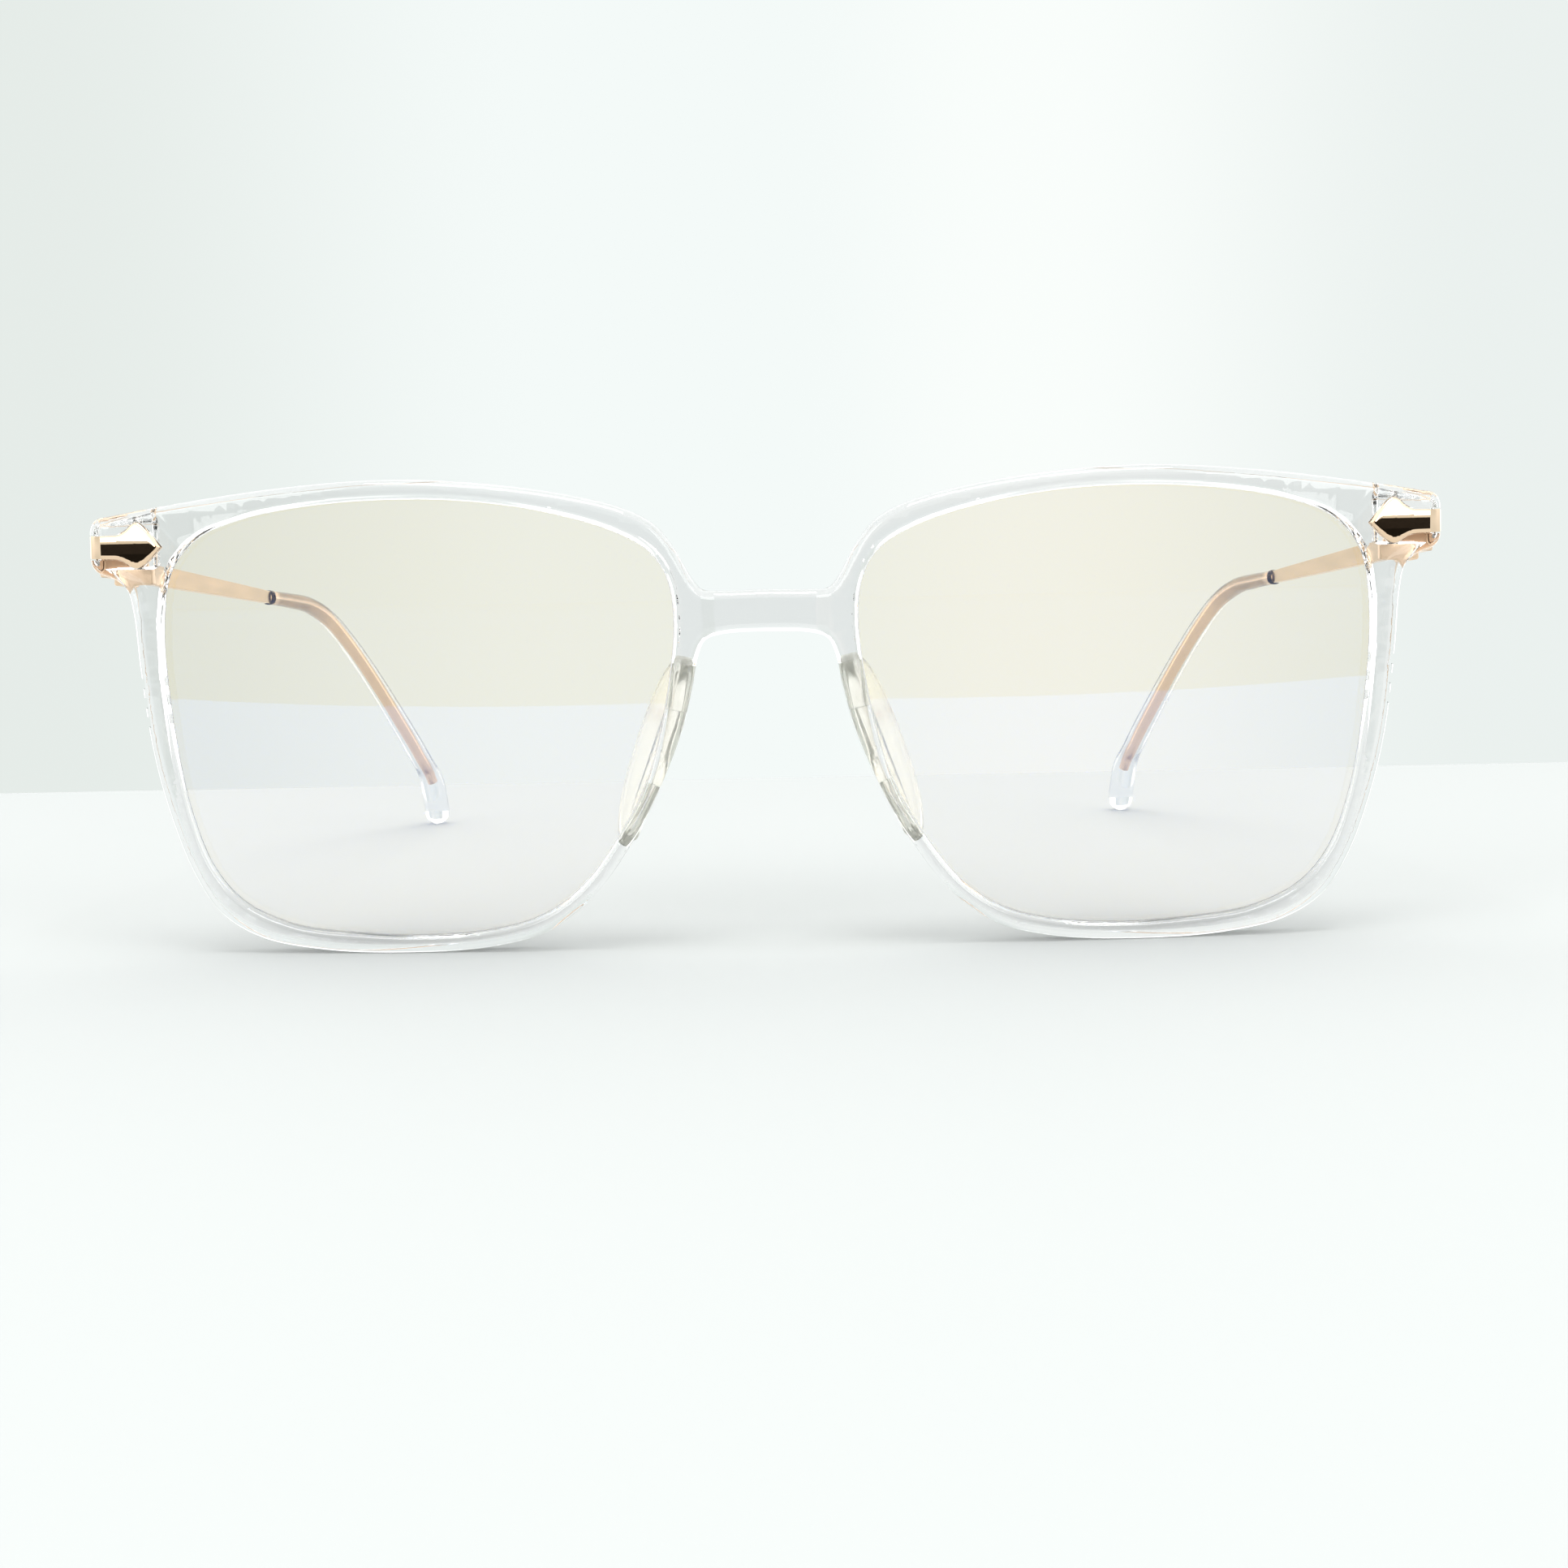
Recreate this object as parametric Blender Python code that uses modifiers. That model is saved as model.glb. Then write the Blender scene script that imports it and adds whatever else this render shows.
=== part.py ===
"""Blue-light glasses: a clear moulded front on two rose-gold metal temples.

Metres, +Z up. The front faces -Y and the temples run back along +Y. The glasses stand open on
the bottoms of the rims and on the ends of the temple tips, with the origin on that surface,
under the middle of the whole. Left and right are the wearer's: left is +X.

The front is drawn flat, as (across, depth, height), and then bent to the face: see to_row.
Everything beside it is drawn on the left, and mirrored for the right.
"""
import math

import bmesh
import bpy
from mathutils import Matrix, Vector

MM = 0.001

# ---- the bend of the front ------------------------------------------------------------------
WRAP_RADIUS = 600 * MM        # the whole front around the face
DISH_RADIUS = 250 * MM        # each rim and lens, both ways
LENS_X = 36 * MM              # middle of a lens across
LENS_Z = 24.5 * MM            # middle of a lens in height
BRIDGE_BLEND = 6 * MM         # rounds the bend off where the two dishes meet
DISH_DATUM = 1 * MM
TILT = math.radians(3.22)     # the top of the front leans towards the viewer
FRONT_BACK_SHIFT = -69.35 * MM    # puts the origin under the middle of the glasses
REST_DROP = -0.25 * MM        # sinks the rims a hair, so that each stands on a real flat

# ---- the front moulding ---------------------------------------------------------------------
RIM_DEPTH = 3.4 * MM
OUTER_ROUND = 0.85 * MM
INNER_ROUND = 0.6 * MM
GROOVE_MID = 1.7 * MM         # depth of the lens groove's bottom line
GROOVE_HALF = 0.62 * MM
GROOVE_DEEP = 0.55 * MM
BRIDGE_STEP = 0.5 * MM        # the bridge bar is thinner than the rims
BRIDGE_STEP_FROM = 6.6 * MM
BRIDGE_STEP_TO = 5.2 * MM

# Half of the outline, from the top of the bridge round the end-piece to its underside (mm).
OUTLINE = [(0, 37.2), (4.6, 37.15), (6.4, 37.3), (7.2, 38.05), (8.5, 40.3), (9.8, 42.5), (11.6, 44.35),
           (14.9, 45.95), (21.4, 47.5), (30, 48.65), (38.5, 49.1), (48, 48.62), (58.4, 47.42), (67.6, 45.98),
           (69.6, 45.55), (70.15, 44.7), (70.22, 42.7), (70.15, 40.95), (69.4, 40.02), (67.6, 39.35),
           (66.3, 38.25), (65.72, 36), (65.25, 30), (64.35, 21.5), (63, 15.2), (60.75, 8.6), (58.05, 4.25),
           (54, 1.7), (47.5, 0.4), (38.3, 0.05), (29, 0.65), (23.2, 2.25), (18.5, 5.8), (14.5, 11.1),
           (11.5, 16.6), (9, 22.6), (7.65, 27.6), (7.05, 30.6), (6.25, 32.2), (4.6, 32.75), (0, 32.95)]
# The opening that a lens fills (mm).
APERTURE = [(9.35, 34.3), (9.95, 38.7), (11.6, 41.3), (14.9, 43.35), (21.4, 45.45), (29.5, 46.82),
            (37.9, 47.2), (46.4, 46.72), (53.7, 45.45), (58.5, 43.5), (61.4, 40.1), (62.45, 34.7),
            (62.15, 25.8), (60.6, 15.2), (58.3, 8.8), (55.2, 5.3), (50, 3), (42.5, 2.1), (36.5, 1.9),
            (29.7, 2.35), (24, 3.85), (19.6, 6.9), (15.1, 12.9), (12.3, 18.5), (10.3, 26.2)]
OUTLINE_STEPS = 2
APERTURE_STEPS = 2

NOTCH_HEIGHTS = [28.6 * MM, 26.6 * MM, 24.6 * MM]
NOTCH_EDGE = 65.15 * MM       # the rim's edge at the top notch
NOTCH_SLANT = 0.095           # how fast that edge moves in, going down
NOTCH_TALL = 1.1 * MM
NOTCH_DEEP = 0.5 * MM

# ---- lens -----------------------------------------------------------------------------------
LENS_THICK = 1.8 * MM
LENS_GAP = 0.12 * MM
LENS_RINGS = [0.68, 0.36]

# ---- corner trim, drawn flat like the front -------------------------------------------------
SPEAR_LOW = [(62.15, 42.72), (63.15, 41.72), (64.1, 40.87), (64.72, 40.56), (65.35, 40.7), (66, 41.12),
             (66.8, 41.46), (67.8, 41.52), (74, 41.52)]
SPEAR_HIGH = [(74, 43.92), (67.8, 43.92), (66.85, 43.98), (66, 44.42), (65.35, 45.02), (64.76, 45.25),
              (64.15, 44.9), (63.15, 43.85), (62.15, 42.72)]
SPEAR_STEPS = 2
TRIM_PROUD = 0.45 * MM
TRIM_SUNK = 0.75 * MM
TRIM_CORNER = [(68.7, -0.45), (70.4, 1.1)]
TRIM_SIDE = 70.4 * MM
TRIM_INSIDE = 69.8 * MM
TRIM_BACK = 4.3 * MM
TRIM_GAP = 0.12 * MM
TRIM_SLOPE = 0.45 * MM        # the bevel round its polished face: this wide, and this deep
TRIM_SLOPE_DEEP = 0.2 * MM
TRIM_BEVEL = 0.2 * MM
PEG_AT = (65 * MM, 43.6 * MM)
PEG_RADIUS = 0.65 * MM
PEG_END = 2.3 * MM

# ---- nose pad -------------------------------------------------------------------------------
PAD_MIDDLE = (11.35 * MM, 20.5 * MM)
PAD_LEAN = math.radians(20)
PAD_OUTLINE = [(0, -9.6), (0, -4), (0, 4), (0, 9.6), (2.2, 10.1), (4.9, 8), (6.4, 3.6), (6.5, -1.4),
               (5.6, -6), (3.3, -9.4), (1.2, -10.2)]
PAD_THICK = 1.7 * MM
PAD_ROUND = 0.6 * MM
PAD_FLARE = math.radians(20)
PAD_CLEAR = 0.15 * MM
FOOT_THICK = 0.8 * MM
FOOT_DEEP = 0.9 * MM
FOOT_GAP = 0.12 * MM
# The middle of each foot, its length (mm), and its lean in degrees.
FEET = [(8.98, 27.3, 4.8, 12), (13.68, 14.2, 7.0, 26.5)]

# ---- hinge, drawn about its axis: across (out), along the temple, up ------------------------
HINGE_AT = Vector((67.75 * MM, 10.75 * MM, 41.25 * MM))
BAR_END = Vector((67.9 * MM, 73.6 * MM, 37.9 * MM))
KNUCKLE_RADIUS = 1.25 * MM
PIN_HOLE = 0.66 * MM
PIN_RADIUS = 0.58 * MM
MID_KNUCKLE = 0.72 * MM       # half its height
EAR_FROM = 1.08 * MM
HINGE_HALF = 2.25 * MM
PLATE_BACK = -1.5 * MM
PLATE_FRONT = -2.4 * MM
PLATE_INNER = -3.5 * MM
LEAF_INNER = 1.4 * MM
LEAF_OUTER = 1.85 * MM
LEAF_LONG = 6 * MM
BUTT = -2.15 * MM             # the temple's front end, which stops on the end-piece
END_PIECE_BACK = -2.45 * MM
WASHER_HALF = 0.1 * MM
WASHER_AT = 0.9 * MM
WASHER_RADIUS = 1.15 * MM
PIN_HEAD_RADIUS = 0.95 * MM
PIN_HEAD = 0.5 * MM
PLATE_SCREW_AT = (-2.45 * MM, 0.7 * MM)
PLATE_SCREW_RADIUS = 0.5 * MM
PLATE_SCREW_HEAD = 0.85 * MM
PLATE_SCREW_END = -5 * MM
SLOT_WIDE = 0.26 * MM
SLOT_DEEP = 0.22 * MM
FIT = 0.08 * MM               # between metal pieces that sit on each other

# ---- temple ---------------------------------------------------------------------------------
BAR_CENTRE = 2.42 * MM        # out from the hinge's axis
BAR_THICK = 0.95 * MM
BAR_TALL_FRONT = 2.7 * MM
BAR_TALL_BACK = 1.7 * MM
CORE_RADIUS = 0.52 * MM       # at the bar
CORE_THINNER = 0.36 * MM      # how thick it ends, inside the tip
# The temple behind its bar (mm): the bend over the ear, then down to the tip.
EAR_PATH = [(67.9, 73.6, 37.9), (66.9, 81, 37.45), (65.9, 89, 36.75), (64.8, 96, 34.9), (63.5, 102.5, 31.55),
            (61.8, 110.5, 26.35), (59.9, 120.5, 19.5), (58.2, 130.5, 12.6), (57.2, 136.9, 7.6),
            (56.8, 139.5, 2.17)]
EAR_STEPS = 2
SLEEVE_START = 0.4 * MM
SLEEVE_RADIUS = 0.88 * MM     # next to the bar
SLEEVE_LIP = 0.98 * MM
SLEEVE_THICKER = 1.55 * MM    # before the thick end
PADDLE_SIDE = 1.9 * MM
PADDLE_UP = 2.15 * MM
CORE_GAP = 0.12 * MM
CORE_SHORT = 6.2 * MM         # how far the core stops before the end of the path

AROUND = 12                   # points round a temple section
DRILL_SIDES = 16


# ---- drawing tools --------------------------------------------------------------------------
def to_row(point):
    """Bend a point of the flat front round the face, and tilt it."""
    x, depth, height = point
    reach = math.hypot(x, BRIDGE_BLEND) - LENS_X
    sag = x * x / (2 * WRAP_RADIUS) + (reach ** 2 + (height - LENS_Z) ** 2) / (2 * DISH_RADIUS)
    y = depth + sag - DISH_DATUM
    return Vector((x,
                   y * math.cos(TILT) - height * math.sin(TILT) + FRONT_BACK_SHIFT,
                   height * math.cos(TILT) + y * math.sin(TILT) + REST_DROP))


def smooth_loop(points, steps, closed=True):
    """Points on the centripetal Catmull-Rom curve through the given ones, in metres."""
    knots = [Vector(p) * MM for p in points]
    if not closed:
        knots = [knots[0] * 2 - knots[1]] + knots + [knots[-1] * 2 - knots[-2]]
    count = len(knots)
    result = []
    for i in range(count if closed else count - 3):
        p = [knots[(i + k) % count] for k in range(4)]
        t = [0.0]
        for a, b in zip(p, p[1:]):
            t.append(t[-1] + math.sqrt((b - a).length))
        for step in range(steps):
            s = t[1] + (t[2] - t[1]) * step / steps
            a = [p[k].lerp(p[k + 1], (s - t[k]) / (t[k + 1] - t[k])) for k in range(3)]
            b = [a[k].lerp(a[k + 1], (s - t[k]) / (t[k + 2] - t[k])) for k in range(2)]
            result.append(b[0].lerp(b[1], (s - t[1]) / (t[2] - t[1])))
    if not closed:
        result.append(knots[-2].copy())
    return result


def outwards(loop):
    """The same loop, anticlockwise, so that a positive offset grows it."""
    area = sum(a.x * b.y - b.x * a.y for a, b in zip(loop, loop[1:] + loop[:1]))
    return loop if area > 0 else loop[::-1]


def offset_loop(loop, distance):
    """The anticlockwise loop moved outwards by a distance."""
    moved = []
    for i, point in enumerate(loop):
        before = (point - loop[i - 1]).normalized()
        after = (loop[(i + 1) % len(loop)] - point).normalized()
        normal = Vector((before.y + after.y, -before.x - after.x))
        moved.append(point + normal * (distance / (1 + before.dot(after))))
    return moved


def add_wall(bm, loop, profile):
    """Stack copies of a loop, one for each (offset, depth), and skin them."""
    rings = []
    for offset, depth in profile:
        rings.append([bm.verts.new((p.x, depth, p.y)) for p in offset_loop(loop, offset)])
    for near, far in zip(rings, rings[1:]):
        for i in range(len(near)):
            bm.faces.new((near[i - 1], near[i], far[i], far[i - 1]))
    return rings[0], rings[-1]


def fill_between(bm, rings):
    """A flat face across the given rings, with the inner ones left open."""
    edges = [bm.edges.get((ring[i - 1], ring[i])) for ring in rings for i in range(len(ring))]
    bmesh.ops.triangle_fill(bm, edges=edges, use_beauty=True, normal=(0, -1, 0))


def plate(walls):
    """A closed solid from (loop, profile) walls: the outer one first, then its holes."""
    bm = bmesh.new()
    ends = [add_wall(bm, loop, profile) for loop, profile in walls]
    fill_between(bm, [front for front, back in ends])
    fill_between(bm, [back for front, back in ends])
    bmesh.ops.recalc_face_normals(bm, faces=bm.faces)
    return bm


def bend(bm):
    """Put a piece drawn on the flat front in its place on the face."""
    bmesh.ops.triangulate(bm, faces=bm.faces)
    for vert in bm.verts:
        vert.co = to_row(vert.co)
    return bm


def prism(loop, low, high):
    """A loop drawn in plan, raised from low to high."""
    bm = bmesh.new()
    face = bm.faces.new([bm.verts.new((p.x, p.y, low)) for p in outwards(loop)])
    raised = bmesh.ops.extrude_face_region(bm, geom=[face])["geom"]
    top = [g for g in raised if isinstance(g, bmesh.types.BMVert)]
    bmesh.ops.translate(bm, vec=(0, 0, high - low), verts=top)
    bmesh.ops.recalc_face_normals(bm, faces=bm.faces)
    return bm


def box(low, high):
    """A box between two corners."""
    bm = bmesh.new()
    size = Vector(high) - Vector(low)
    middle = (Vector(high) + Vector(low)) / 2
    bmesh.ops.create_cube(bm, size=1, matrix=Matrix.Translation(middle) @ Matrix.Diagonal((*size, 1)))
    return bm


def rod(start, end, radius, sides=DRILL_SIDES):
    """A round bar from one point to another."""
    start, end = Vector(start), Vector(end)
    turn = (end - start).to_track_quat("Z", "Y").to_matrix().to_4x4()
    bm = bmesh.new()
    bmesh.ops.create_cone(bm, cap_ends=True, segments=sides, radius1=radius, radius2=radius,
                          depth=(end - start).length, matrix=Matrix.Translation((start + end) / 2) @ turn)
    return bm


def skin(rings):
    """A skin over rings of points, shut at both ends."""
    bm = bmesh.new()
    rows = [[bm.verts.new(p) for p in ring] for ring in rings]
    for near, far in zip(rows, rows[1:]):
        for i in range(len(near)):
            bm.faces.new((near[i - 1], near[i], far[i], far[i - 1]))
    bm.faces.new(rows[0])
    bm.faces.new(rows[-1])
    bmesh.ops.recalc_face_normals(bm, faces=bm.faces)
    return bm


# ---- objects --------------------------------------------------------------------------------
def material(name, color, roughness, metallic=0.0, clear=0.0):
    """A plain Principled material."""
    made = bpy.data.materials.new(name)
    made.use_nodes = True
    shader = made.node_tree.nodes["Principled BSDF"]
    shader.inputs["Base Color"].default_value = (*color, 1)
    shader.inputs["Roughness"].default_value = roughness
    shader.inputs["Metallic"].default_value = metallic
    shader.inputs["Transmission Weight"].default_value = clear
    return made


def link(name, bm, collection, parent, sign=1, finish=None):
    """Make an object of a bmesh drawn on the left; sign -1 mirrors it to the right."""
    if sign < 0:
        bmesh.ops.scale(bm, vec=(-1, 1, 1), verts=bm.verts)
        bmesh.ops.reverse_faces(bm, faces=bm.faces)
    mesh = bpy.data.meshes.new(name)
    bm.to_mesh(mesh)
    bm.free()
    mesh.shade_smooth()
    mesh.set_sharp_from_angle(angle=math.radians(32))
    if finish:
        mesh.materials.append(finish)
    made = bpy.data.objects.new(name, mesh)
    made.parent = parent
    collection.objects.link(made)
    return made


def combine(target, tool, operation, sign=1):
    """Join a helper solid to a piece, or cut it away."""
    helper = link(f"{target.name}.{operation.lower()}", tool, CUTTERS, target.parent, sign)
    helper.hide_render = True
    helper.display_type = "WIRE"
    step = target.modifiers.new(operation.title(), "BOOLEAN")
    step.operation = operation
    step.object = helper


def empty(name, matrix=None, parent=None):
    """A named frame that pieces hang on."""
    made = bpy.data.objects.new(name, None)
    made.empty_display_size = 5 * MM
    made.parent = parent
    if matrix:
        made.matrix_local = matrix
    PARTS.objects.link(made)
    return made


def hinge_frame(sign):
    """The hinge's own axes: out, along the temple's bar, and up its pin."""
    start = HINGE_AT + Vector((BAR_CENTRE, BUTT, 0))
    along = (BAR_END - start).normalized()
    up = (Vector((0, 0, 1)) - along * along.z).normalized()
    out = along.cross(up)
    origin = HINGE_AT + Vector((0, FRONT_BACK_SHIFT, REST_DROP))
    frame = Matrix((out, along, up)).transposed().to_4x4()
    frame.translation = origin
    mirror = Matrix.Diagonal((sign, 1, 1, 1))
    return mirror @ frame @ mirror


# ---- the pieces -----------------------------------------------------------------------------
def outline_loop():
    """The front's whole outline."""
    half = [p for p in OUTLINE]
    other = [(-x, z) for x, z in half[-2:0:-1]]
    return outwards(smooth_loop(half + other, OUTLINE_STEPS))


def aperture_loop(sign=1):
    """A lens opening."""
    return outwards([Vector((p.x * sign, p.y)) for p in smooth_loop(APERTURE, APERTURE_STEPS)])


def rounded(radius, depth, inwards):
    """A wall profile with both edges rounded; inwards is -1 where material is inside the loop."""
    lean = radius * (1 - math.sqrt(0.5))
    near = [(inwards * radius, 0), (inwards * lean, lean), (0, radius)]
    return near, [(offset, depth - y) for offset, y in reversed(near)]


def add_front(parent):
    """The clear moulding: both rims, the bridge and the end-pieces."""
    near, far = rounded(OUTER_ROUND, RIM_DEPTH, -1)
    walls = [(outline_loop(), near + far)]
    near, far = [(INNER_ROUND, 0), (0, INNER_ROUND)], [(0, RIM_DEPTH - INNER_ROUND), (INNER_ROUND, RIM_DEPTH)]
    groove = [(0, GROOVE_MID - GROOVE_HALF), (GROOVE_DEEP, GROOVE_MID), (0, GROOVE_MID + GROOVE_HALF)]
    walls += [(aperture_loop(sign), near + groove + far) for sign in (1, -1)]
    bm = plate(walls)
    for across in (0, 2.6 * MM, BRIDGE_STEP_TO, BRIDGE_STEP_FROM):
        for sign in (1, -1):
            everything = bm.verts[:] + bm.edges[:] + bm.faces[:]
            bmesh.ops.bisect_plane(bm, geom=everything, plane_co=(sign * across, 0, 0), plane_no=(1, 0, 0))
    for vert in bm.verts:
        share = (BRIDGE_STEP_FROM - abs(vert.co.x)) / (BRIDGE_STEP_FROM - BRIDGE_STEP_TO)
        vert.co.y += BRIDGE_STEP * min(1, max(0, share)) * (1 - vert.co.y / RIM_DEPTH)
    front = link("frame_front", bend(bm), PARTS, parent, finish=CRYSTAL)
    for sign in (1, -1):
        combine(front, end_piece(), "UNION", sign)
    for sign in (1, -1):
        combine(front, bend(trim_solid(TRIM_GAP)), "DIFFERENCE", sign)
        combine(front, bend(trim_peg(TRIM_GAP)), "DIFFERENCE", sign)
        for foot in pad_feet(FOOT_GAP):
            combine(front, bend(foot), "DIFFERENCE", sign)
        combine(front, plate_screw_hole(), "DIFFERENCE", sign)
        for height in NOTCH_HEIGHTS:
            combine(front, bend(notch(height)), "DIFFERENCE", sign)
    reach = 100 * MM
    combine(front, box((-reach, -reach, -reach / 10), (reach, reach, 0)), "DIFFERENCE")


def end_piece():
    """The thick corner behind the rim, whose back is square to the temple."""
    frame = hinge_frame(1)
    near = [(62.7, 40.3), (70.07, 40.5), (70.07, 45.38), (62.3, 46.5)]
    far = [(-4.4 * MM, -0.6 * MM), (1.75 * MM, -0.6 * MM), (1.75 * MM, 3.85 * MM), (-4.4 * MM, 4.2 * MM)]
    front = [to_row((x * MM, 1.2 * MM, z * MM)) for x, z in near]
    back = [frame @ Vector((x, END_PIECE_BACK, z)) for x, z in far]
    bm = skin([front, back])
    bmesh.ops.bevel(bm, geom=bm.edges[:], offset=0.4 * MM, segments=2, profile=0.5, affect="EDGES")
    return bm


def notch(height):
    """One of the three shallow notches in the outer edge of a rim."""
    edge = NOTCH_EDGE - NOTCH_SLANT * (NOTCH_HEIGHTS[0] - height)
    half = NOTCH_TALL / 2
    beyond = 1 * MM
    low = (edge - NOTCH_DEEP, -beyond, height - half)
    return box(low, (edge + 2 * MM, RIM_DEPTH + beyond, height + half))


def add_lens(side, sign, parent):
    """A lens with a V edge that sits in the rim's groove."""
    loop = offset_loop(aperture_loop(), -LENS_GAP)
    near = GROOVE_MID - LENS_THICK / 2
    far = GROOVE_MID + LENS_THICK / 2
    shoulder = GROOVE_HALF - LENS_GAP
    middle = sum(loop, Vector((0, 0))) / len(loop)
    profile = [(0, near), (0, GROOVE_MID - shoulder), (GROOVE_DEEP - LENS_GAP, GROOVE_MID),
               (0, GROOVE_MID + shoulder), (0, far)]
    bm = bmesh.new()
    for edge_ring, depth in zip(add_wall(bm, loop, profile), (near, far)):
        outer = edge_ring
        for size in LENS_RINGS:
            flat = [middle.lerp(Vector((v.co.x, v.co.z)), size) for v in edge_ring]
            inner = [bm.verts.new((p.x, depth, p.y)) for p in flat]
            for i in range(len(inner)):
                bm.faces.new((outer[i - 1], outer[i], inner[i], inner[i - 1]))
            outer = inner
        hub = bm.verts.new((middle.x, depth, middle.y))
        for i in range(len(outer)):
            bm.faces.new((outer[i - 1], outer[i], hub))
    bmesh.ops.recalc_face_normals(bm, faces=bm.faces)
    link(f"{side}_lens", bend(bm), PARTS, parent, sign, LENS)


def trim_solid(grow):
    """The spear-shaped plate that wraps the corner, or with grow the recess that holds it."""
    low, high = (smooth_loop(half, SPEAR_STEPS, closed=False) for half in (SPEAR_LOW, SPEAR_HIGH))
    spear = offset_loop(outwards(low + high[:-1]), grow)
    proud = TRIM_PROUD + 20 * grow
    corner = [Vector(p) * MM for p in TRIM_CORNER]
    if grow:
        corner = [Vector((TRIM_SIDE + 20 * grow, -proud))]
    side = corner[-1].x
    plan = [Vector((61 * MM, -proud))] + corner
    plan += [Vector((side, TRIM_BACK + 20 * grow)), Vector((TRIM_INSIDE - grow, TRIM_BACK + 20 * grow)),
             Vector((TRIM_INSIDE - grow, TRIM_SUNK + grow)), Vector((61 * MM, TRIM_SUNK + grow))]
    tall = prism(plan, 38 * MM, 48 * MM)
    slope = [(0, -4 * MM)] if grow else [(-TRIM_SLOPE, -proud), (0, TRIM_SLOPE_DEEP - proud)]
    shape = plate([(spear, slope + [(0, 12 * MM)])])
    return intersection(tall, shape)


def intersection(one, other):
    """The space that two solids share."""
    scene = bpy.context.scene.collection
    made = [link(name, bm, scene, None) for name, bm in (("one", one), ("other", other))]
    step = made[0].modifiers.new("Shared", "BOOLEAN")
    step.operation = "INTERSECT"
    step.object = made[1]
    graph = bpy.context.evaluated_depsgraph_get()
    graph.update()
    bm = bmesh.new()
    bm.from_mesh(made[0].evaluated_get(graph).to_mesh())
    for item in made:
        bpy.data.objects.remove(item)
    return bm


def trim_peg(grow):
    """The peg behind the trim, or with grow its socket."""
    x, z = PEG_AT
    return rod((x, 0.4 * MM, z), (x, PEG_END + grow, z), PEG_RADIUS + grow)


def add_trim(side, sign, parent):
    """The polished plate on the corner, with its peg."""
    bm = trim_solid(0)
    rim = [e for e in bm.edges if all(v.co.x > TRIM_SIDE - 0.01 * MM for v in e.verts)]
    bmesh.ops.bevel(bm, geom=rim, offset=TRIM_BEVEL, segments=1, profile=0.5, affect="EDGES")
    trim = link(f"{side}_corner_trim", bend(bm), PARTS, parent, sign, ROSE_GOLD)
    combine(trim, bend(trim_peg(0)), "UNION", sign)


def pad_frame():
    """The nose pad's own axes on the flat front: back from the rim, through it, and up it."""
    x, z = PAD_MIDDLE
    long = Vector((-math.sin(PAD_LEAN), 0, math.cos(PAD_LEAN)))
    beside = Vector((math.cos(PAD_LEAN), 0, math.sin(PAD_LEAN)))
    back = Vector((0, math.cos(PAD_FLARE), 0)) + beside * math.sin(PAD_FLARE)
    through = long.cross(back)
    frame = Matrix((back, through, long)).transposed().to_4x4()
    frame.translation = Vector((x, RIM_DEPTH + PAD_CLEAR + PAD_ROUND * 0.3, z))
    return frame


def pad_feet(grow):
    """The two feet that plug a nose pad into its rim, or with grow their sockets."""
    feet = []
    for x, z, long, lean in FEET:
        half = Vector((FOOT_THICK / 2 + grow, 0, long / 2 * MM + grow))
        foot = box((-half.x, RIM_DEPTH - FOOT_DEEP - grow, -half.z), (half.x, RIM_DEPTH + 1 * MM, half.z))
        turn = Matrix.Translation((x * MM, 0, z * MM)) @ Matrix.Rotation(math.radians(-lean), 4, "Y")
        bmesh.ops.transform(foot, matrix=turn, verts=foot.verts)
        feet.append(foot)
    return feet


def add_pad(side, sign, parent):
    """The soft clear pad that rests on the nose."""
    near, far = rounded(PAD_ROUND, PAD_THICK, -1)
    loop = outwards(smooth_loop(PAD_OUTLINE, 2))
    bm = plate([(loop, near + far)])
    bmesh.ops.transform(bm, matrix=pad_frame() @ Matrix.Translation((0, -PAD_THICK / 2, 0)), verts=bm.verts)
    pad = link(f"{side}_nose_pad", bend(bm), PARTS, parent, sign, SILICONE)
    for foot in pad_feet(0):
        combine(pad, bend(foot), "UNION", sign)


def ear_loop():
    """A hinge ear in plan: round about the pin, square to its plate."""
    count = 14
    arc = [math.pi * i / count for i in range(count + 1)]
    round_end = [Vector((math.cos(a), math.sin(a))) * KNUCKLE_RADIUS for a in arc]
    foot = PLATE_BACK - 0.1 * MM
    return [Vector((-KNUCKLE_RADIUS, foot)), Vector((KNUCKLE_RADIUS, foot))] + round_end


def knuckle_loop():
    """The middle knuckle in plan: round about the pin, with a web out to its leaf."""
    count = 20
    web = 0.7 * MM
    start = math.asin(web / KNUCKLE_RADIUS)
    arc = [start + (2 * math.pi - 2 * start) * i / count for i in range(count + 1)]
    edge = LEAF_INNER + 0.1 * MM
    round_part = [Vector((math.cos(a), math.sin(a))) * KNUCKLE_RADIUS for a in arc]
    return round_part + [Vector((edge, -web)), Vector((edge, web))]


def plate_screw_hole():
    """The pilot hole for the hinge plate's screw in the end-piece."""
    x, z = PLATE_SCREW_AT
    hole = rod((x, PLATE_SCREW_END - 0.2 * MM, z), (x, PLATE_BACK, z), PLATE_SCREW_RADIUS + 0.1 * MM)
    bmesh.ops.transform(hole, matrix=hinge_frame(1), verts=hole.verts)
    return hole


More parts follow.
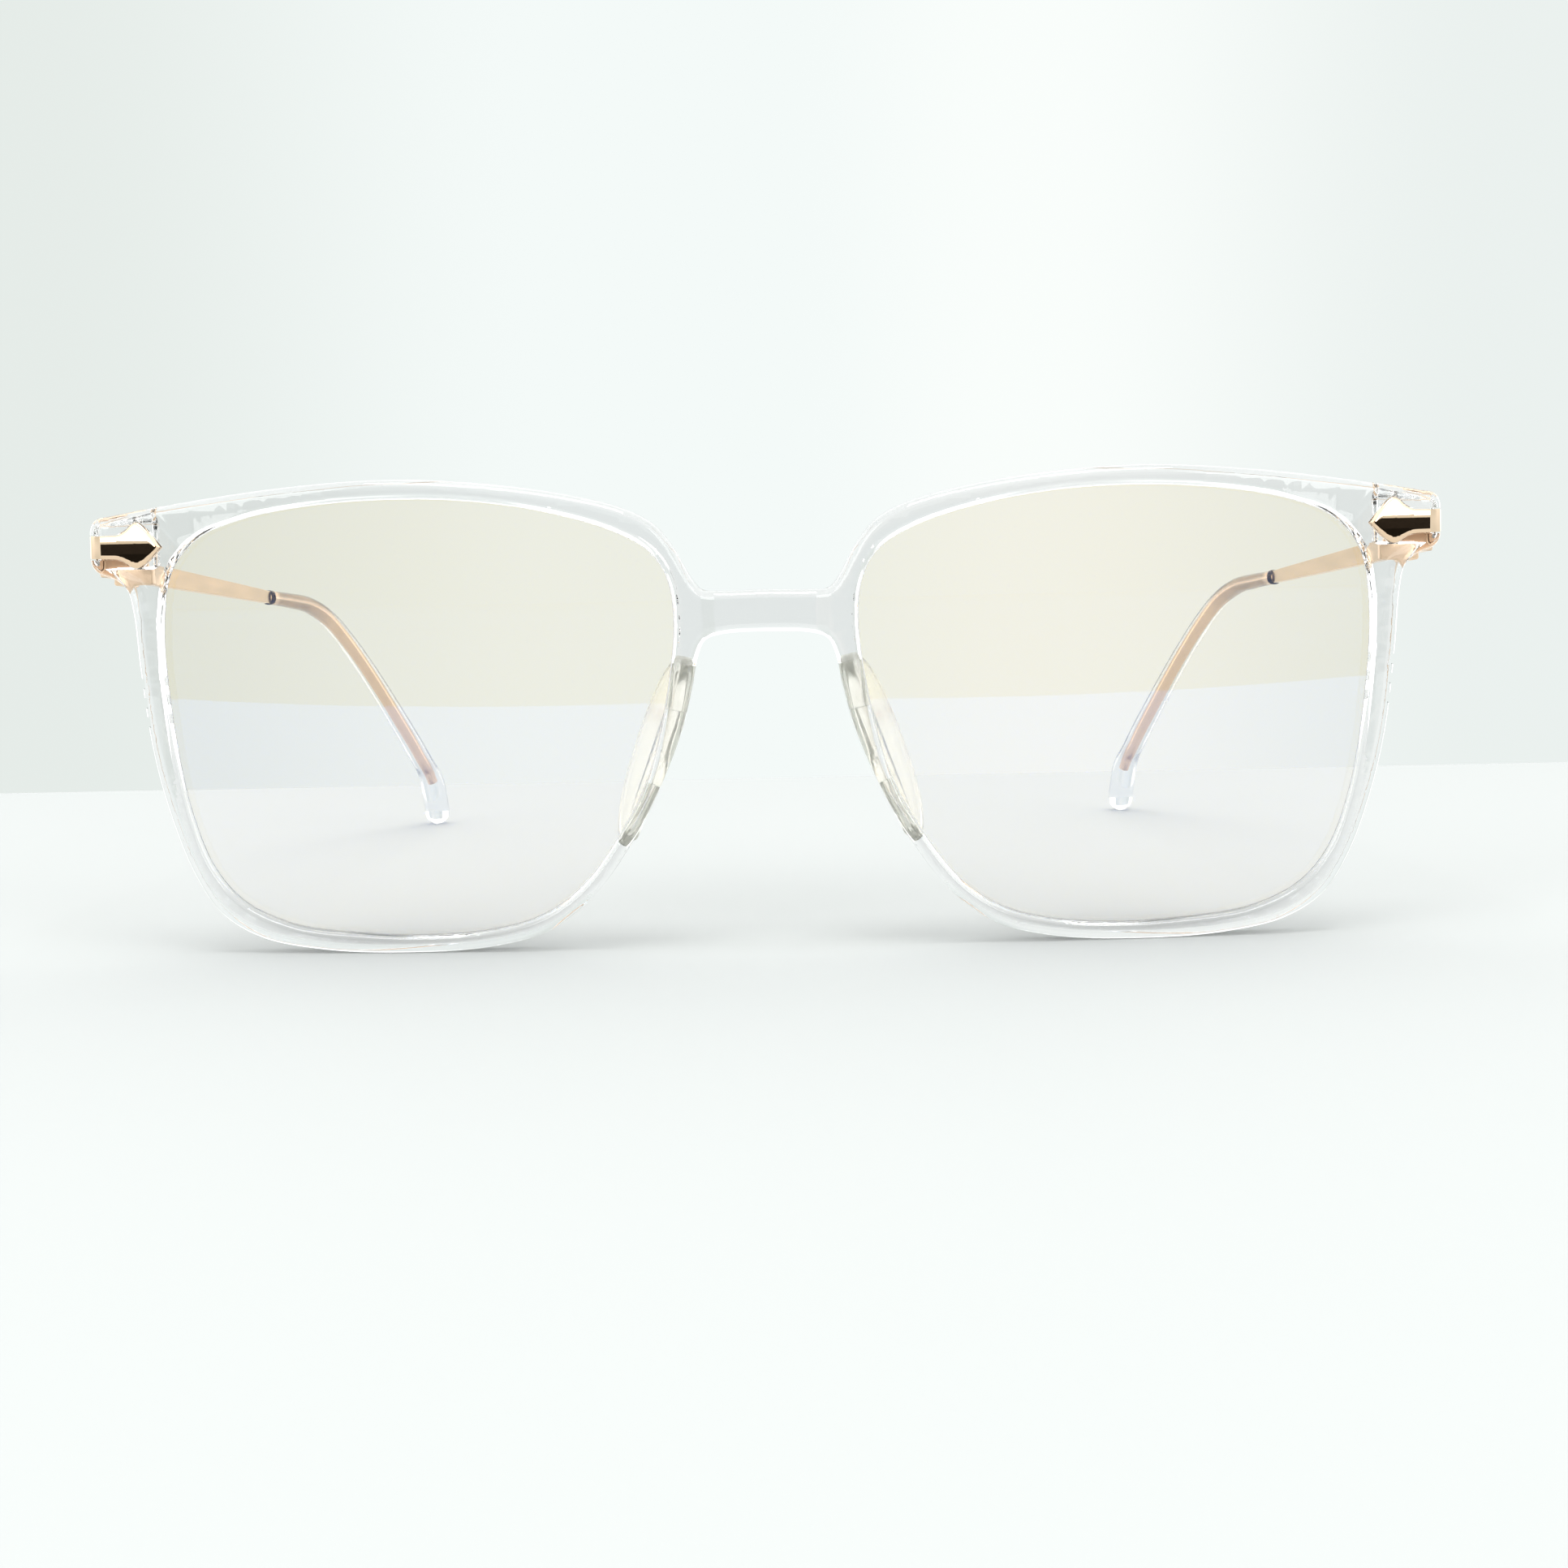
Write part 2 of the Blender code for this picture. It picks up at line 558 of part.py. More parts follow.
def add_hinge_front(side, sign, seat):
    """The hinge plate on the end-piece, with its two ears."""
    base = box((PLATE_INNER, PLATE_FRONT, -HINGE_HALF), (KNUCKLE_RADIUS, PLATE_BACK, HINGE_HALF))
    bmesh.ops.bevel(base, geom=base.edges[:], offset=0.15 * MM, segments=1, profile=0.5, affect="EDGES")
    leaf = link(f"{side}_hinge_front", base, PARTS, seat, sign, ROSE_GOLD)
    inner = HINGE_HALF - 0.02 * MM
    combine(leaf, prism(ear_loop(), EAR_FROM, inner), "UNION", sign)
    combine(leaf, prism(ear_loop(), -inner, -EAR_FROM), "UNION", sign)
    x, z = PLATE_SCREW_AT
    radius = PLATE_SCREW_RADIUS + 0.08 * MM
    combine(leaf, rod((0, 0, -4 * MM), (0, 0, 4 * MM), PIN_HOLE), "DIFFERENCE", sign)
    combine(leaf, rod((x, -4 * MM, z), (x, 0, z), radius), "DIFFERENCE", sign)


def add_hinge_temple(side, sign, pivot):
    """The hinge leaf on the temple, with the middle knuckle."""
    base = box((LEAF_INNER, BUTT, -1.1 * MM), (LEAF_OUTER, LEAF_LONG, 1.1 * MM))
    leaf = link(f"{side}_hinge_temple", base, PARTS, pivot, sign, ROSE_GOLD)
    combine(leaf, prism(knuckle_loop(), -MID_KNUCKLE, MID_KNUCKLE), "UNION", sign)
    combine(leaf, rod((0, 0, -4 * MM), (0, 0, 4 * MM), PIN_HOLE), "DIFFERENCE", sign)


def add_turned(name, profile, parent, sign, finish, turn=None, closed=False):
    """A piece turned about its own Z axis, from (radius, height) points, top to bottom."""
    mesh = bpy.data.meshes.new(name)
    points = [(r, 0, z) for r, z in profile]
    edges = [(i, i + 1) for i in range(len(points) - 1)]
    if closed:
        edges.append((len(points) - 1, 0))
    mesh.from_pydata(points, edges, [])
    mesh.materials.append(finish)
    made = bpy.data.objects.new(name, mesh)
    made.parent = parent
    mirror = Matrix.Diagonal((sign, 1, 1, 1))
    made.matrix_local = mirror @ (turn or Matrix()) @ mirror
    PARTS.objects.link(made)
    spin = made.modifiers.new("Turn", "SCREW")
    spin.steps = spin.render_steps = DRILL_SIDES
    spin.use_merge_vertices = True
    spin.merge_threshold = 0.01 * MM
    return made


def screw_profile(shank, head, end, seat, height):
    """A pan-head screw: a domed head on its seat, then the shank down to its chamfered end."""
    tip = 0.2 * MM
    return [(0, seat + height), (head * 0.78, seat + height), (head, seat + height * 0.5), (head, seat),
            (shank, seat), (shank, end + tip), (shank * 0.6, end), (0, end)]


def add_hinge_screw(side, sign, seat):
    """The screw that the temple turns on."""
    top = HINGE_HALF + FIT
    profile = screw_profile(PIN_RADIUS, PIN_HEAD_RADIUS, -HINGE_HALF, top, PIN_HEAD)
    screw = add_turned(f"{side}_hinge_screw", profile, seat, sign, STEEL)
    high = top + PIN_HEAD
    combine(screw, box((-2 * MM, -SLOT_WIDE / 2, high - SLOT_DEEP), (2 * MM, SLOT_WIDE / 2, high + 1 * MM)),
            "DIFFERENCE", sign)


def add_plate_screw(side, sign, seat):
    """The screw that holds the hinge plate to the end-piece."""
    x, z = PLATE_SCREW_AT
    turn = Matrix.Translation((x, 0, z)) @ Matrix.Rotation(math.radians(-90), 4, "X")
    seat_at = PLATE_BACK + FIT
    back = seat_at + 0.45 * MM
    profile = screw_profile(PLATE_SCREW_RADIUS, PLATE_SCREW_HEAD, PLATE_SCREW_END, seat_at, back - seat_at)
    screw = add_turned(f"{side}_plate_screw", profile, seat, sign, STEEL, turn)
    half = SLOT_WIDE / 2
    slot = box((x - 2 * MM, back - SLOT_DEEP, z - half), (x + 2 * MM, back + 1 * MM, z + half))
    combine(screw, slot, "DIFFERENCE", sign)


def add_washers(side, sign, seat):
    """The thin washers above and below the middle knuckle."""
    for place, level in (("upper", WASHER_AT), ("lower", -WASHER_AT)):
        low, high = level - WASHER_HALF, level + WASHER_HALF
        ring = [(PIN_HOLE, high), (WASHER_RADIUS, high), (WASHER_RADIUS, low), (PIN_HOLE, low)]
        add_turned(f"{side}_{place}_washer", ring, seat, sign, NYLON, closed=True)


def section(centre, along, half_side, half_up, squareness):
    """A ring about a path: a circle at squareness 2, closer to a rectangle above it."""
    side = along.cross(Vector((0, 0, 1))).normalized()
    up = side.cross(along)
    ring = []
    for i in range(AROUND):
        a = 2 * math.pi * (i + 0.5) / AROUND
        c, s = math.cos(a), math.sin(a)
        across = math.copysign(abs(c) ** (2 / squareness), c) * half_side
        height = math.copysign(abs(s) ** (2 / squareness), s) * half_up
        ring.append(centre + side * across + up * height)
    return ring


def path_points():
    """The temple's path behind its bar, with the direction and the distance at each point."""
    points = smooth_loop(EAR_PATH, EAR_STEPS, closed=False)
    shift = Vector((0, FRONT_BACK_SHIFT, REST_DROP))
    points = [p + shift for p in points]
    gone = 0.0
    result = []
    for i, point in enumerate(points):
        ahead = points[min(i + 1, len(points) - 1)]
        behind = points[max(i - 1, 0)]
        if i:
            gone += (point - points[i - 1]).length
        result.append((point, (ahead - behind).normalized(), gone))
    return result


def add_temple(side, sign, pivot):
    """The metal temple: a flat bar that ends as the round core of its tip."""
    frame = hinge_frame(1)
    start = frame @ Vector((BAR_CENTRE, BUTT, 0))
    path = path_points()
    end = path[0][0]
    along = (end - start).normalized()
    half = BAR_THICK / 2
    bar = [(0, 0.8), (0.35 * MM, 1), (6 * MM, 1)]
    rings = []
    for distance, size in bar:
        rings.append(section(start + along * distance, along, half * size, BAR_TALL_FRONT / 2 * size, 7))
    length = (end - start).length
    for distance, size in ((length * 0.5, 1), (length - 0.7 * MM, 1), (length - 0.3 * MM, 0.9)):
        share = distance / length
        tall = BAR_TALL_FRONT + (BAR_TALL_BACK - BAR_TALL_FRONT) * share
        rings.append(section(start + along * distance, along, half * size, tall / 2 * size, 7))
    last = path[-1][2] - CORE_SHORT
    for point, direction, gone in path:
        if gone < last:
            radius = core_radius(gone / last)
            rings.append(section(point, direction, radius, radius, 2))
            tail = (point, direction, gone)
    point, direction, gone = tail
    rings.append(section(point + direction * (last - gone), direction, CORE_THINNER, CORE_THINNER, 2))
    bm = skin(rings)
    bmesh.ops.transform(bm, matrix=frame.inverted(), verts=bm.verts)
    link(f"{side}_temple", bm, PARTS, pivot, sign, ROSE_GOLD)


def core_radius(share):
    """The core's radius along its length, from 0 to 1."""
    return CORE_RADIUS + (CORE_THINNER - CORE_RADIUS) * min(1, share)


def sleeve_size(share):
    """Half width and half height of the sleeve, along its length from 0 to 1."""
    body = SLEEVE_RADIUS + (SLEEVE_THICKER - SLEEVE_RADIUS) * min(1, share / 0.8) ** 0.8
    flat = max(0, min(1, (share - 0.86) / 0.08))
    flat = flat * flat * (3 - 2 * flat)
    return body + (PADDLE_SIDE - body) * flat, body + (PADDLE_UP - body) * flat


def add_tip(side, sign, pivot):
    """The clear sleeve over the core, with its thicker end: open in front, blind behind."""
    frame = hinge_frame(1)
    path = path_points()
    total = path[-1][2]
    first, direction, _ = path[0]
    outer = [section(first + direction * SLEEVE_START, direction, SLEEVE_LIP, SLEEVE_LIP, 2.6),
             section(first + direction * (SLEEVE_START + 0.5 * MM), direction, SLEEVE_LIP, SLEEVE_LIP, 2.6)]
    last = total - CORE_SHORT
    bore = CORE_RADIUS + CORE_GAP
    inner = [section(first + direction * SLEEVE_START, direction, bore, bore, 2)]
    for point, direction, gone in path[1:]:
        side_half, up_half = sleeve_size(gone / total)
        outer.append(section(point, direction, side_half, up_half, 2.2))
        if gone < last:
            bore = core_radius(gone / last) + CORE_GAP
            inner.append(section(point, direction, bore, bore, 2))
            tail = (point, direction, gone)
    point, direction, gone = tail
    reach = last + 2 * CORE_GAP - gone
    inner.append(section(point + direction * reach, direction, bore, bore, 2))
    point, direction, _ = path[-1]
    for turn in (25, 50, 72, 86):
        size = math.cos(math.radians(turn))
        ahead = math.sin(math.radians(turn)) * PADDLE_SIDE
        outer.append(section(point + direction * ahead, direction, PADDLE_SIDE * size, PADDLE_UP * size, 2.1))
    bm = skin(inner[::-1] + outer)
    bmesh.ops.transform(bm, matrix=frame.inverted(), verts=bm.verts)
    link(f"{side}_temple_tip", bm, PARTS, pivot, sign, TIP_CLEAR)


def add_side(side, sign, parent):
    """Everything on one side of the front."""
    add_lens(side, sign, parent)
    add_pad(side, sign, parent)
    add_trim(side, sign, parent)
    seat = empty(f"{side}_hinge_seat", hinge_frame(sign), parent)
    pivot = empty(f"{side}_temple_pivot", hinge_frame(sign), parent)
    add_hinge_front(side, sign, seat)
    add_hinge_screw(side, sign, seat)
    add_washers(side, sign, seat)
    add_plate_screw(side, sign, seat)
    add_hinge_temple(side, sign, pivot)
    add_temple(side, sign, pivot)
    add_tip(side, sign, pivot)


for old in list(bpy.data.objects):
    bpy.data.objects.remove(old)
PARTS = bpy.data.collections.new("blue_light_glasses")
CUTTERS = bpy.data.collections.new("helper_solids")
for made_collection in (PARTS, CUTTERS):
    bpy.context.scene.collection.children.link(made_collection)

CRYSTAL = material("crystal_plastic", (0.93, 0.95, 0.95), 0.04, clear=1.0)
LENS = material("lens_resin", (0.97, 0.97, 0.93), 0.02, clear=1.0)
SILICONE = material("pad_silicone", (0.93, 0.93, 0.86), 0.25, clear=0.8)
TIP_CLEAR = material("tip_plastic", (0.9, 0.93, 0.96), 0.12, clear=1.0)
ROSE_GOLD = material("rose_gold", (0.83, 0.56, 0.42), 0.18, metallic=1.0)
STEEL = material("screw_steel", (0.72, 0.7, 0.68), 0.25, metallic=1.0)
NYLON = material("washer_nylon", (0.9, 0.9, 0.88), 0.4)

ROOT = empty("glasses")
add_front(ROOT)
for side_name, side_sign in (("left", 1), ("right", -1)):
    add_side(side_name, side_sign, ROOT)
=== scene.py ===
"""The looks of the blue-light glasses: the fine surfaces, materials, floor, light and camera.

Metres, in the CAD's frame: +Z up, the front faces -Y, and the wearer's left is +X. The front's
outline and bend are the CAD's own rules, drawn finer. Left pieces are mirrored for the right.
"""
import math

import bmesh
import bpy
from mathutils import Matrix, Vector


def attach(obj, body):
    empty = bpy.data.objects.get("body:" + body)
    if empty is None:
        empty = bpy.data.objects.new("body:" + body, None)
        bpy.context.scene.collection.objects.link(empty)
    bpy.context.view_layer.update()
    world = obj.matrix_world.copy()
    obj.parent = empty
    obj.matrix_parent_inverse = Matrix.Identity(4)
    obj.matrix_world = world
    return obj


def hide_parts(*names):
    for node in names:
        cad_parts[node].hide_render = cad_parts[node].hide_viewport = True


MM = 0.001

# ---- the bend of the front ------------------------------------------------------------------
WRAP_RADIUS = 600 * MM        # the whole front around the face
DISH_RADIUS = 250 * MM        # each rim and lens, both ways
LENS_X = 36 * MM              # middle of a lens across
LENS_Z = 24.5 * MM            # middle of a lens in height
BRIDGE_BLEND = 6 * MM         # rounds the bend off where the two dishes meet
DISH_DATUM = 1 * MM
TILT = math.radians(3.22)     # the top of the front leans towards the viewer
FRONT_BACK_SHIFT = -69.35 * MM    # puts the origin under the middle of the glasses
REST_DROP = -0.25 * MM        # sinks the rims a hair, so that each stands on a real flat

# ---- the front moulding ---------------------------------------------------------------------
RIM_DEPTH = 3.4 * MM
OUTER_ROUND = 0.85 * MM
INNER_ROUND = 0.6 * MM
GROOVE_MID = 1.7 * MM         # depth of the lens groove's bottom line
GROOVE_HALF = 0.62 * MM
GROOVE_DEEP = 0.55 * MM
BRIDGE_STEP = 0.5 * MM        # the bridge bar is thinner than the rims
BRIDGE_STEP_FROM = 6.6 * MM
BRIDGE_STEP_TO = 5.2 * MM

# Half of the outline, from the top of the bridge round the end-piece to its underside (mm).
OUTLINE = [(0, 37.2), (4.6, 37.15), (6.4, 37.3), (7.2, 38.05), (8.5, 40.3), (9.8, 42.5), (11.6, 44.35),
           (14.9, 45.95), (21.4, 47.5), (30, 48.65), (38.5, 49.1), (48, 48.62), (58.4, 47.42), (67.6, 45.98),
           (69.6, 45.55), (70.15, 44.7), (70.22, 42.7), (70.15, 40.95), (69.4, 40.02), (67.6, 39.35),
           (66.3, 38.25), (65.72, 36), (65.25, 30), (64.35, 21.5), (63, 15.2), (60.75, 8.6), (58.05, 4.25),
           (54, 1.7), (47.5, 0.4), (38.3, 0.05), (29, 0.65), (23.2, 2.25), (18.5, 5.8), (14.5, 11.1),
           (11.5, 16.6), (9, 22.6), (7.65, 27.6), (7.05, 30.6), (6.25, 32.2), (4.6, 32.75), (0, 32.95)]
# The opening that a lens fills (mm).
APERTURE = [(9.35, 34.3), (9.95, 38.7), (11.6, 41.3), (14.9, 43.35), (21.4, 45.45), (29.5, 46.82),
            (37.9, 47.2), (46.4, 46.72), (53.7, 45.45), (58.5, 43.5), (61.4, 40.1), (62.45, 34.7),
            (62.15, 25.8), (60.6, 15.2), (58.3, 8.8), (55.2, 5.3), (50, 3), (42.5, 2.1), (36.5, 1.9),
            (29.7, 2.35), (24, 3.85), (19.6, 6.9), (15.1, 12.9), (12.3, 18.5), (10.3, 26.2)]
OUTLINE_STEPS = 12
APERTURE_STEPS = 16
GRID_STEP = 2 * MM            # the front's flat faces are cut this finely, so that they bend smoothly
GRID_SIDE = 69 * MM
GRID_LOW = 2 * MM
GRID_HIGH = 48 * MM
FAR = 100 * MM                # past every side of the glasses
CUT_BEYOND = 1 * MM           # how far a cutter reaches past the rim

NOTCH_HEIGHTS = [28.6 * MM, 26.6 * MM, 24.6 * MM]
NOTCH_EDGE = 65.15 * MM       # the rim's edge at the top notch
NOTCH_SLANT = 0.095           # how fast that edge moves in, going down
NOTCH_TALL = 1.1 * MM
NOTCH_DEEP = 0.5 * MM

# ---- lens -----------------------------------------------------------------------------------
LENS_THICK = 1.8 * MM
LENS_GAP = 0.12 * MM
LENS_RINGS = 12
RING_CROWDING = 0.8           # below 1, the rings lie closer together near the edge

# ---- corner trim, drawn flat like the front -------------------------------------------------
# The spear's lower and upper outline, from its tip out past the corner and back (mm).
SPEAR_LOW = [(62.15, 42.72), (63.15, 41.72), (64.1, 40.87), (64.72, 40.56), (65.35, 40.7), (66, 41.12),
             (66.8, 41.46), (67.8, 41.52), (74, 41.52)]
SPEAR_HIGH = [(74, 43.92), (67.8, 43.92), (66.85, 43.98), (66, 44.42), (65.35, 45.02), (64.76, 45.25),
              (64.15, 44.9), (63.15, 43.85), (62.15, 42.72)]
TRIM_PROUD = 0.45 * MM
TRIM_SUNK = 0.75 * MM
TRIM_CORNER = [(68.7, -0.45), (70.4, 1.1)]
TRIM_SIDE = 70.4 * MM
TRIM_INSIDE = 69.8 * MM
TRIM_BACK = 4.3 * MM
TRIM_GAP = 0.12 * MM
TRIM_SLOPE = 0.45 * MM        # the rounding of its polished face: this wide, and this deep
TRIM_SLOPE_DEEP = 0.17 * MM
TRIM_SLOPE_STEPS = 5
TRIM_BEVEL = 0.2 * MM
TRIM_CROWN = 0.04 * MM        # how far its face falls back, 1 mm above or below its middle
TRIM_MIDDLE = 42.72 * MM
TRIM_FACE = 0.2 * MM          # what stands further forward than this is crowned in full
TRIM_GRID_ACROSS = (61 * MM, 71 * MM, 0.4 * MM)     # from, to and step of the cuts that the crown needs
TRIM_GRID_UP = (40 * MM, 46 * MM, 0.25 * MM)
SPEAR_STEPS = 6
PLAN_INNER = 61 * MM          # the plan that the spear is cut from: its inner end, foot and top
PLAN_LOW = 38 * MM
PLAN_HIGH = 48 * MM
SPEAR_FRONT = -4 * MM         # the recess's spear reaches from here
SPEAR_BACK = 12 * MM          # and both spears reach back to here
RECESS_REACH = 20             # the recess's cutter reaches this many gaps outside the trim
PEG_AT = (65 * MM, 43.6 * MM)
PEG_RADIUS = 0.65 * MM
PEG_START = 0.4 * MM
PEG_END = 2.3 * MM

# ---- nose pad -------------------------------------------------------------------------------
PAD_MIDDLE = (11.35 * MM, 20.5 * MM)
PAD_LEAN = math.radians(20)
PAD_OUTLINE = [(0, -9.6), (0, -4), (0, 4), (0, 9.6), (2.2, 10.1), (4.9, 8), (6.4, 3.6), (6.5, -1.4),
               (5.6, -6), (3.3, -9.4), (1.2, -10.2)]
PAD_THICK = 1.7 * MM
PAD_ROUND = 0.6 * MM
PAD_FLARE = math.radians(20)
PAD_CLEAR = 0.15 * MM
PAD_START = PAD_CLEAR + 0.3 * PAD_ROUND    # where it starts, behind the rim
PAD_STEPS = 8
FOOT_THICK = 0.8 * MM
FOOT_DEEP = 0.9 * MM
FOOT_BEHIND = 1 * MM          # how far it reaches behind the rim, into the pad
FOOT_GAP = 0.04 * MM
# The middle of each foot, its length (mm), and its lean in degrees.
FEET = [(8.98, 27.3, 4.8, 12), (13.68, 14.2, 7.0, 26.5)]

# ---- hinge, drawn about its axis: across (out), along the temple, up ------------------------
HINGE_AT = Vector((67.75 * MM, 10.75 * MM, 41.25 * MM))
BAR_END = Vector((67.9 * MM, 73.6 * MM, 37.9 * MM))
PLATE_BACK = -1.5 * MM
BUTT = -2.15 * MM             # the temple's front end, which stops on the end-piece
END_PIECE_BACK = -2.45 * MM
END_PIECE_FRONT = 1.2 * MM    # behind the rim's face
END_PIECE_ROUND = 0.4 * MM
# The end-piece's corners (mm): in front, across and up on the flat front; behind, out and up from the hinge.
END_PIECE_NEAR = [(62.7, 40.3), (70.07, 40.5), (70.07, 45.38), (62.3, 46.5)]
END_PIECE_FAR = [(-4.4, -0.6), (1.75, -0.6), (1.75, 3.85), (-4.4, 4.2)]
PLATE_SCREW_AT = (-2.45 * MM, 0.7 * MM)
PLATE_SCREW_RADIUS = 0.5 * MM
PLATE_SCREW_END = -5 * MM
HOLE_DEEPER = 0.2 * MM        # its hole, against the screw
HOLE_WIDER = 0.1 * MM

# ---- temple ---------------------------------------------------------------------------------
BAR_CENTRE = 2.42 * MM        # out from the hinge's axis
BAR_THICK = 0.95 * MM
BAR_TALL_FRONT = 2.7 * MM
BAR_TALL_BACK = 1.7 * MM
BAR_STEPS = 12
BAR_SQUARE = 9                # the squareness of its section, and at its end
BAR_SQUARE_END = 8
# The rounding of its ends: the distance from the end, and the size there.
BAR_START_ROUND = [(0, 0.8), (0.12 * MM, 0.9), (0.35 * MM, 1)]
BAR_END_ROUND = [(0.5 * MM, 1), (0.25 * MM, 0.95), (0.12 * MM, 0.85)]
CORE_RADIUS = 0.52 * MM       # at the bar
CORE_THINNER = 0.36 * MM      # how thick it ends, inside the tip
# The temple behind its bar (mm): the bend over the ear, then down to the tip.
EAR_PATH = [(67.9, 73.6, 37.9), (66.9, 81, 37.45), (65.9, 89, 36.75), (64.8, 96, 34.9), (63.5, 102.5, 31.55),
            (61.8, 110.5, 26.35), (59.9, 120.5, 19.5), (58.2, 130.5, 12.6), (57.2, 136.9, 7.6),
            (56.8, 139.5, 2.17)]
EAR_STEPS = 8
SLEEVE_START = 0.22 * MM
SLEEVE_RADIUS = 0.88 * MM     # next to the bar
SLEEVE_LIP = 0.98 * MM
# The lip's distances from its end, and its radius there.
SLEEVE_LIP_ROUND = [(0, SLEEVE_LIP - 0.1 * MM), (0.08 * MM, SLEEVE_LIP), (0.5 * MM, SLEEVE_LIP)]
SLEEVE_FROM = 0.8 * MM        # its path starts this far behind the lip
SLEEVE_THICKER = 1.55 * MM    # before the thick end
SLEEVE_THICK_AT = 0.8         # the share of its length where it is that thick
SLEEVE_SWELL = 0.8            # below 1, it thickens sooner
PADDLE_SIDE = 1.9 * MM        # the thick end
PADDLE_UP = 2.15 * MM
PADDLE_FROM = 0.86            # the shares of the length where it starts and is whole
PADDLE_WHOLE = 0.94
PADDLE_TURNS = range(10, 90, 8)    # degrees round its rounded end
LIP_SQUARE = 2.6              # the squareness of the sleeve's sections
SLEEVE_SQUARE = 2.2
PADDLE_SQUARE = 2.1
MOULDED_ON = 0.01 * MM        # the clear sleeve grips its core, so that no air shows between them
CORE_SHORT = 6.2 * MM         # how far the core stops before the end of the path

AROUND = 36                   # points round a temple section
ROUND = 2                     # the squareness of a circle
DRILL_SIDES = 48
NEAR_TO = 0.01 * MM           # closer than this is touching


# ---- drawing tools --------------------------------------------------------------------------
def to_row(point):
    """Bend a point of the flat front round the face, and tilt it."""
    x, depth, height = point
    reach = math.hypot(x, BRIDGE_BLEND) - LENS_X
    sag = x * x / (2 * WRAP_RADIUS) + (reach ** 2 + (height - LENS_Z) ** 2) / (2 * DISH_RADIUS)
    y = depth + sag - DISH_DATUM
    return Vector((x,
                   y * math.cos(TILT) - height * math.sin(TILT) + FRONT_BACK_SHIFT,
                   height * math.cos(TILT) + y * math.sin(TILT) + REST_DROP))


def smooth_loop(points, steps, closed=True):
    """Points on the centripetal Catmull-Rom curve through the given ones, in metres."""
    knots = [Vector(p) * MM for p in points]
    if not closed:
        knots = [knots[0] * 2 - knots[1]] + knots + [knots[-1] * 2 - knots[-2]]
    count = len(knots)
    result = []
    for i in range(count if closed else count - 3):
        p = [knots[(i + k) % count] for k in range(4)]
        t = [0.0]
        for a, b in zip(p, p[1:]):
            t.append(t[-1] + math.sqrt((b - a).length))
        for step in range(steps):
            s = t[1] + (t[2] - t[1]) * step / steps
            a = [p[k].lerp(p[k + 1], (s - t[k]) / (t[k + 1] - t[k])) for k in range(3)]
            b = [a[k].lerp(a[k + 1], (s - t[k]) / (t[k + 2] - t[k])) for k in range(2)]
            result.append(b[0].lerp(b[1], (s - t[1]) / (t[2] - t[1])))
    if not closed:
        result.append(knots[-2].copy())
    return result


def outwards(loop):
    """The same loop, anticlockwise, so that a positive offset grows it."""
    area = sum(a.x * b.y - b.x * a.y for a, b in zip(loop, loop[1:] + loop[:1]))
    return loop if area > 0 else loop[::-1]


def offset_loop(loop, distance):
    """The anticlockwise loop moved outwards by a distance."""
    moved = []
    for i, point in enumerate(loop):
        before = (point - loop[i - 1]).normalized()
        after = (loop[(i + 1) % len(loop)] - point).normalized()
        normal = Vector((before.y + after.y, -before.x - after.x))
        moved.append(point + normal * (distance / (1 + before.dot(after))))
    return moved


def add_wall(bm, loop, profile):
    """Stack copies of a loop, one for each (offset, depth), and skin them."""
    rings = []
    for offset, depth in profile:
        rings.append([bm.verts.new((p.x, depth, p.y)) for p in offset_loop(loop, offset)])
    for near, far in zip(rings, rings[1:]):
        for i in range(len(near)):
            bm.faces.new((near[i - 1], near[i], far[i], far[i - 1]))
    return rings[0], rings[-1]


def fill_between(bm, rings):
    """A flat face across the given rings, with the inner ones left open."""
    edges = [bm.edges.get((ring[i - 1], ring[i])) for ring in rings for i in range(len(ring))]
    bmesh.ops.triangle_fill(bm, edges=edges, use_beauty=True, normal=(0, -1, 0))


def plate(walls):
    """A closed solid from (loop, profile) walls: the outer one first, then its holes."""
    bm = bmesh.new()
    ends = [add_wall(bm, loop, profile) for loop, profile in walls]
    fill_between(bm, [front for front, back in ends])
    fill_between(bm, [back for front, back in ends])
    bmesh.ops.recalc_face_normals(bm, faces=bm.faces)
    return bm


def quarter_turn(steps):
    """Evenly spaced angles from 0 to a quarter turn."""
    return [math.pi / 2 * k / steps for k in range(steps + 1)]


def bend(bm):
    """Put a piece drawn on the flat front in its place on the face."""
    bmesh.ops.triangulate(bm, faces=bm.faces)
    for vert in bm.verts:
        vert.co = to_row(vert.co)
    return bm


def prism(loop, low, high):
    """A loop drawn in plan, raised from low to high."""
    bm = bmesh.new()
    face = bm.faces.new([bm.verts.new((p.x, p.y, low)) for p in outwards(loop)])
    raised = bmesh.ops.extrude_face_region(bm, geom=[face])["geom"]
    top = [item for item in raised if isinstance(item, bmesh.types.BMVert)]
    bmesh.ops.translate(bm, vec=(0, 0, high - low), verts=top)
    bmesh.ops.recalc_face_normals(bm, faces=bm.faces)
    return bm


def box(low, high):
    """A box between two corners."""
    bm = bmesh.new()
    size = Vector(high) - Vector(low)
    middle = (Vector(high) + Vector(low)) / 2
    bmesh.ops.create_cube(bm, size=1, matrix=Matrix.Translation(middle) @ Matrix.Diagonal((*size, 1)))
    return bm


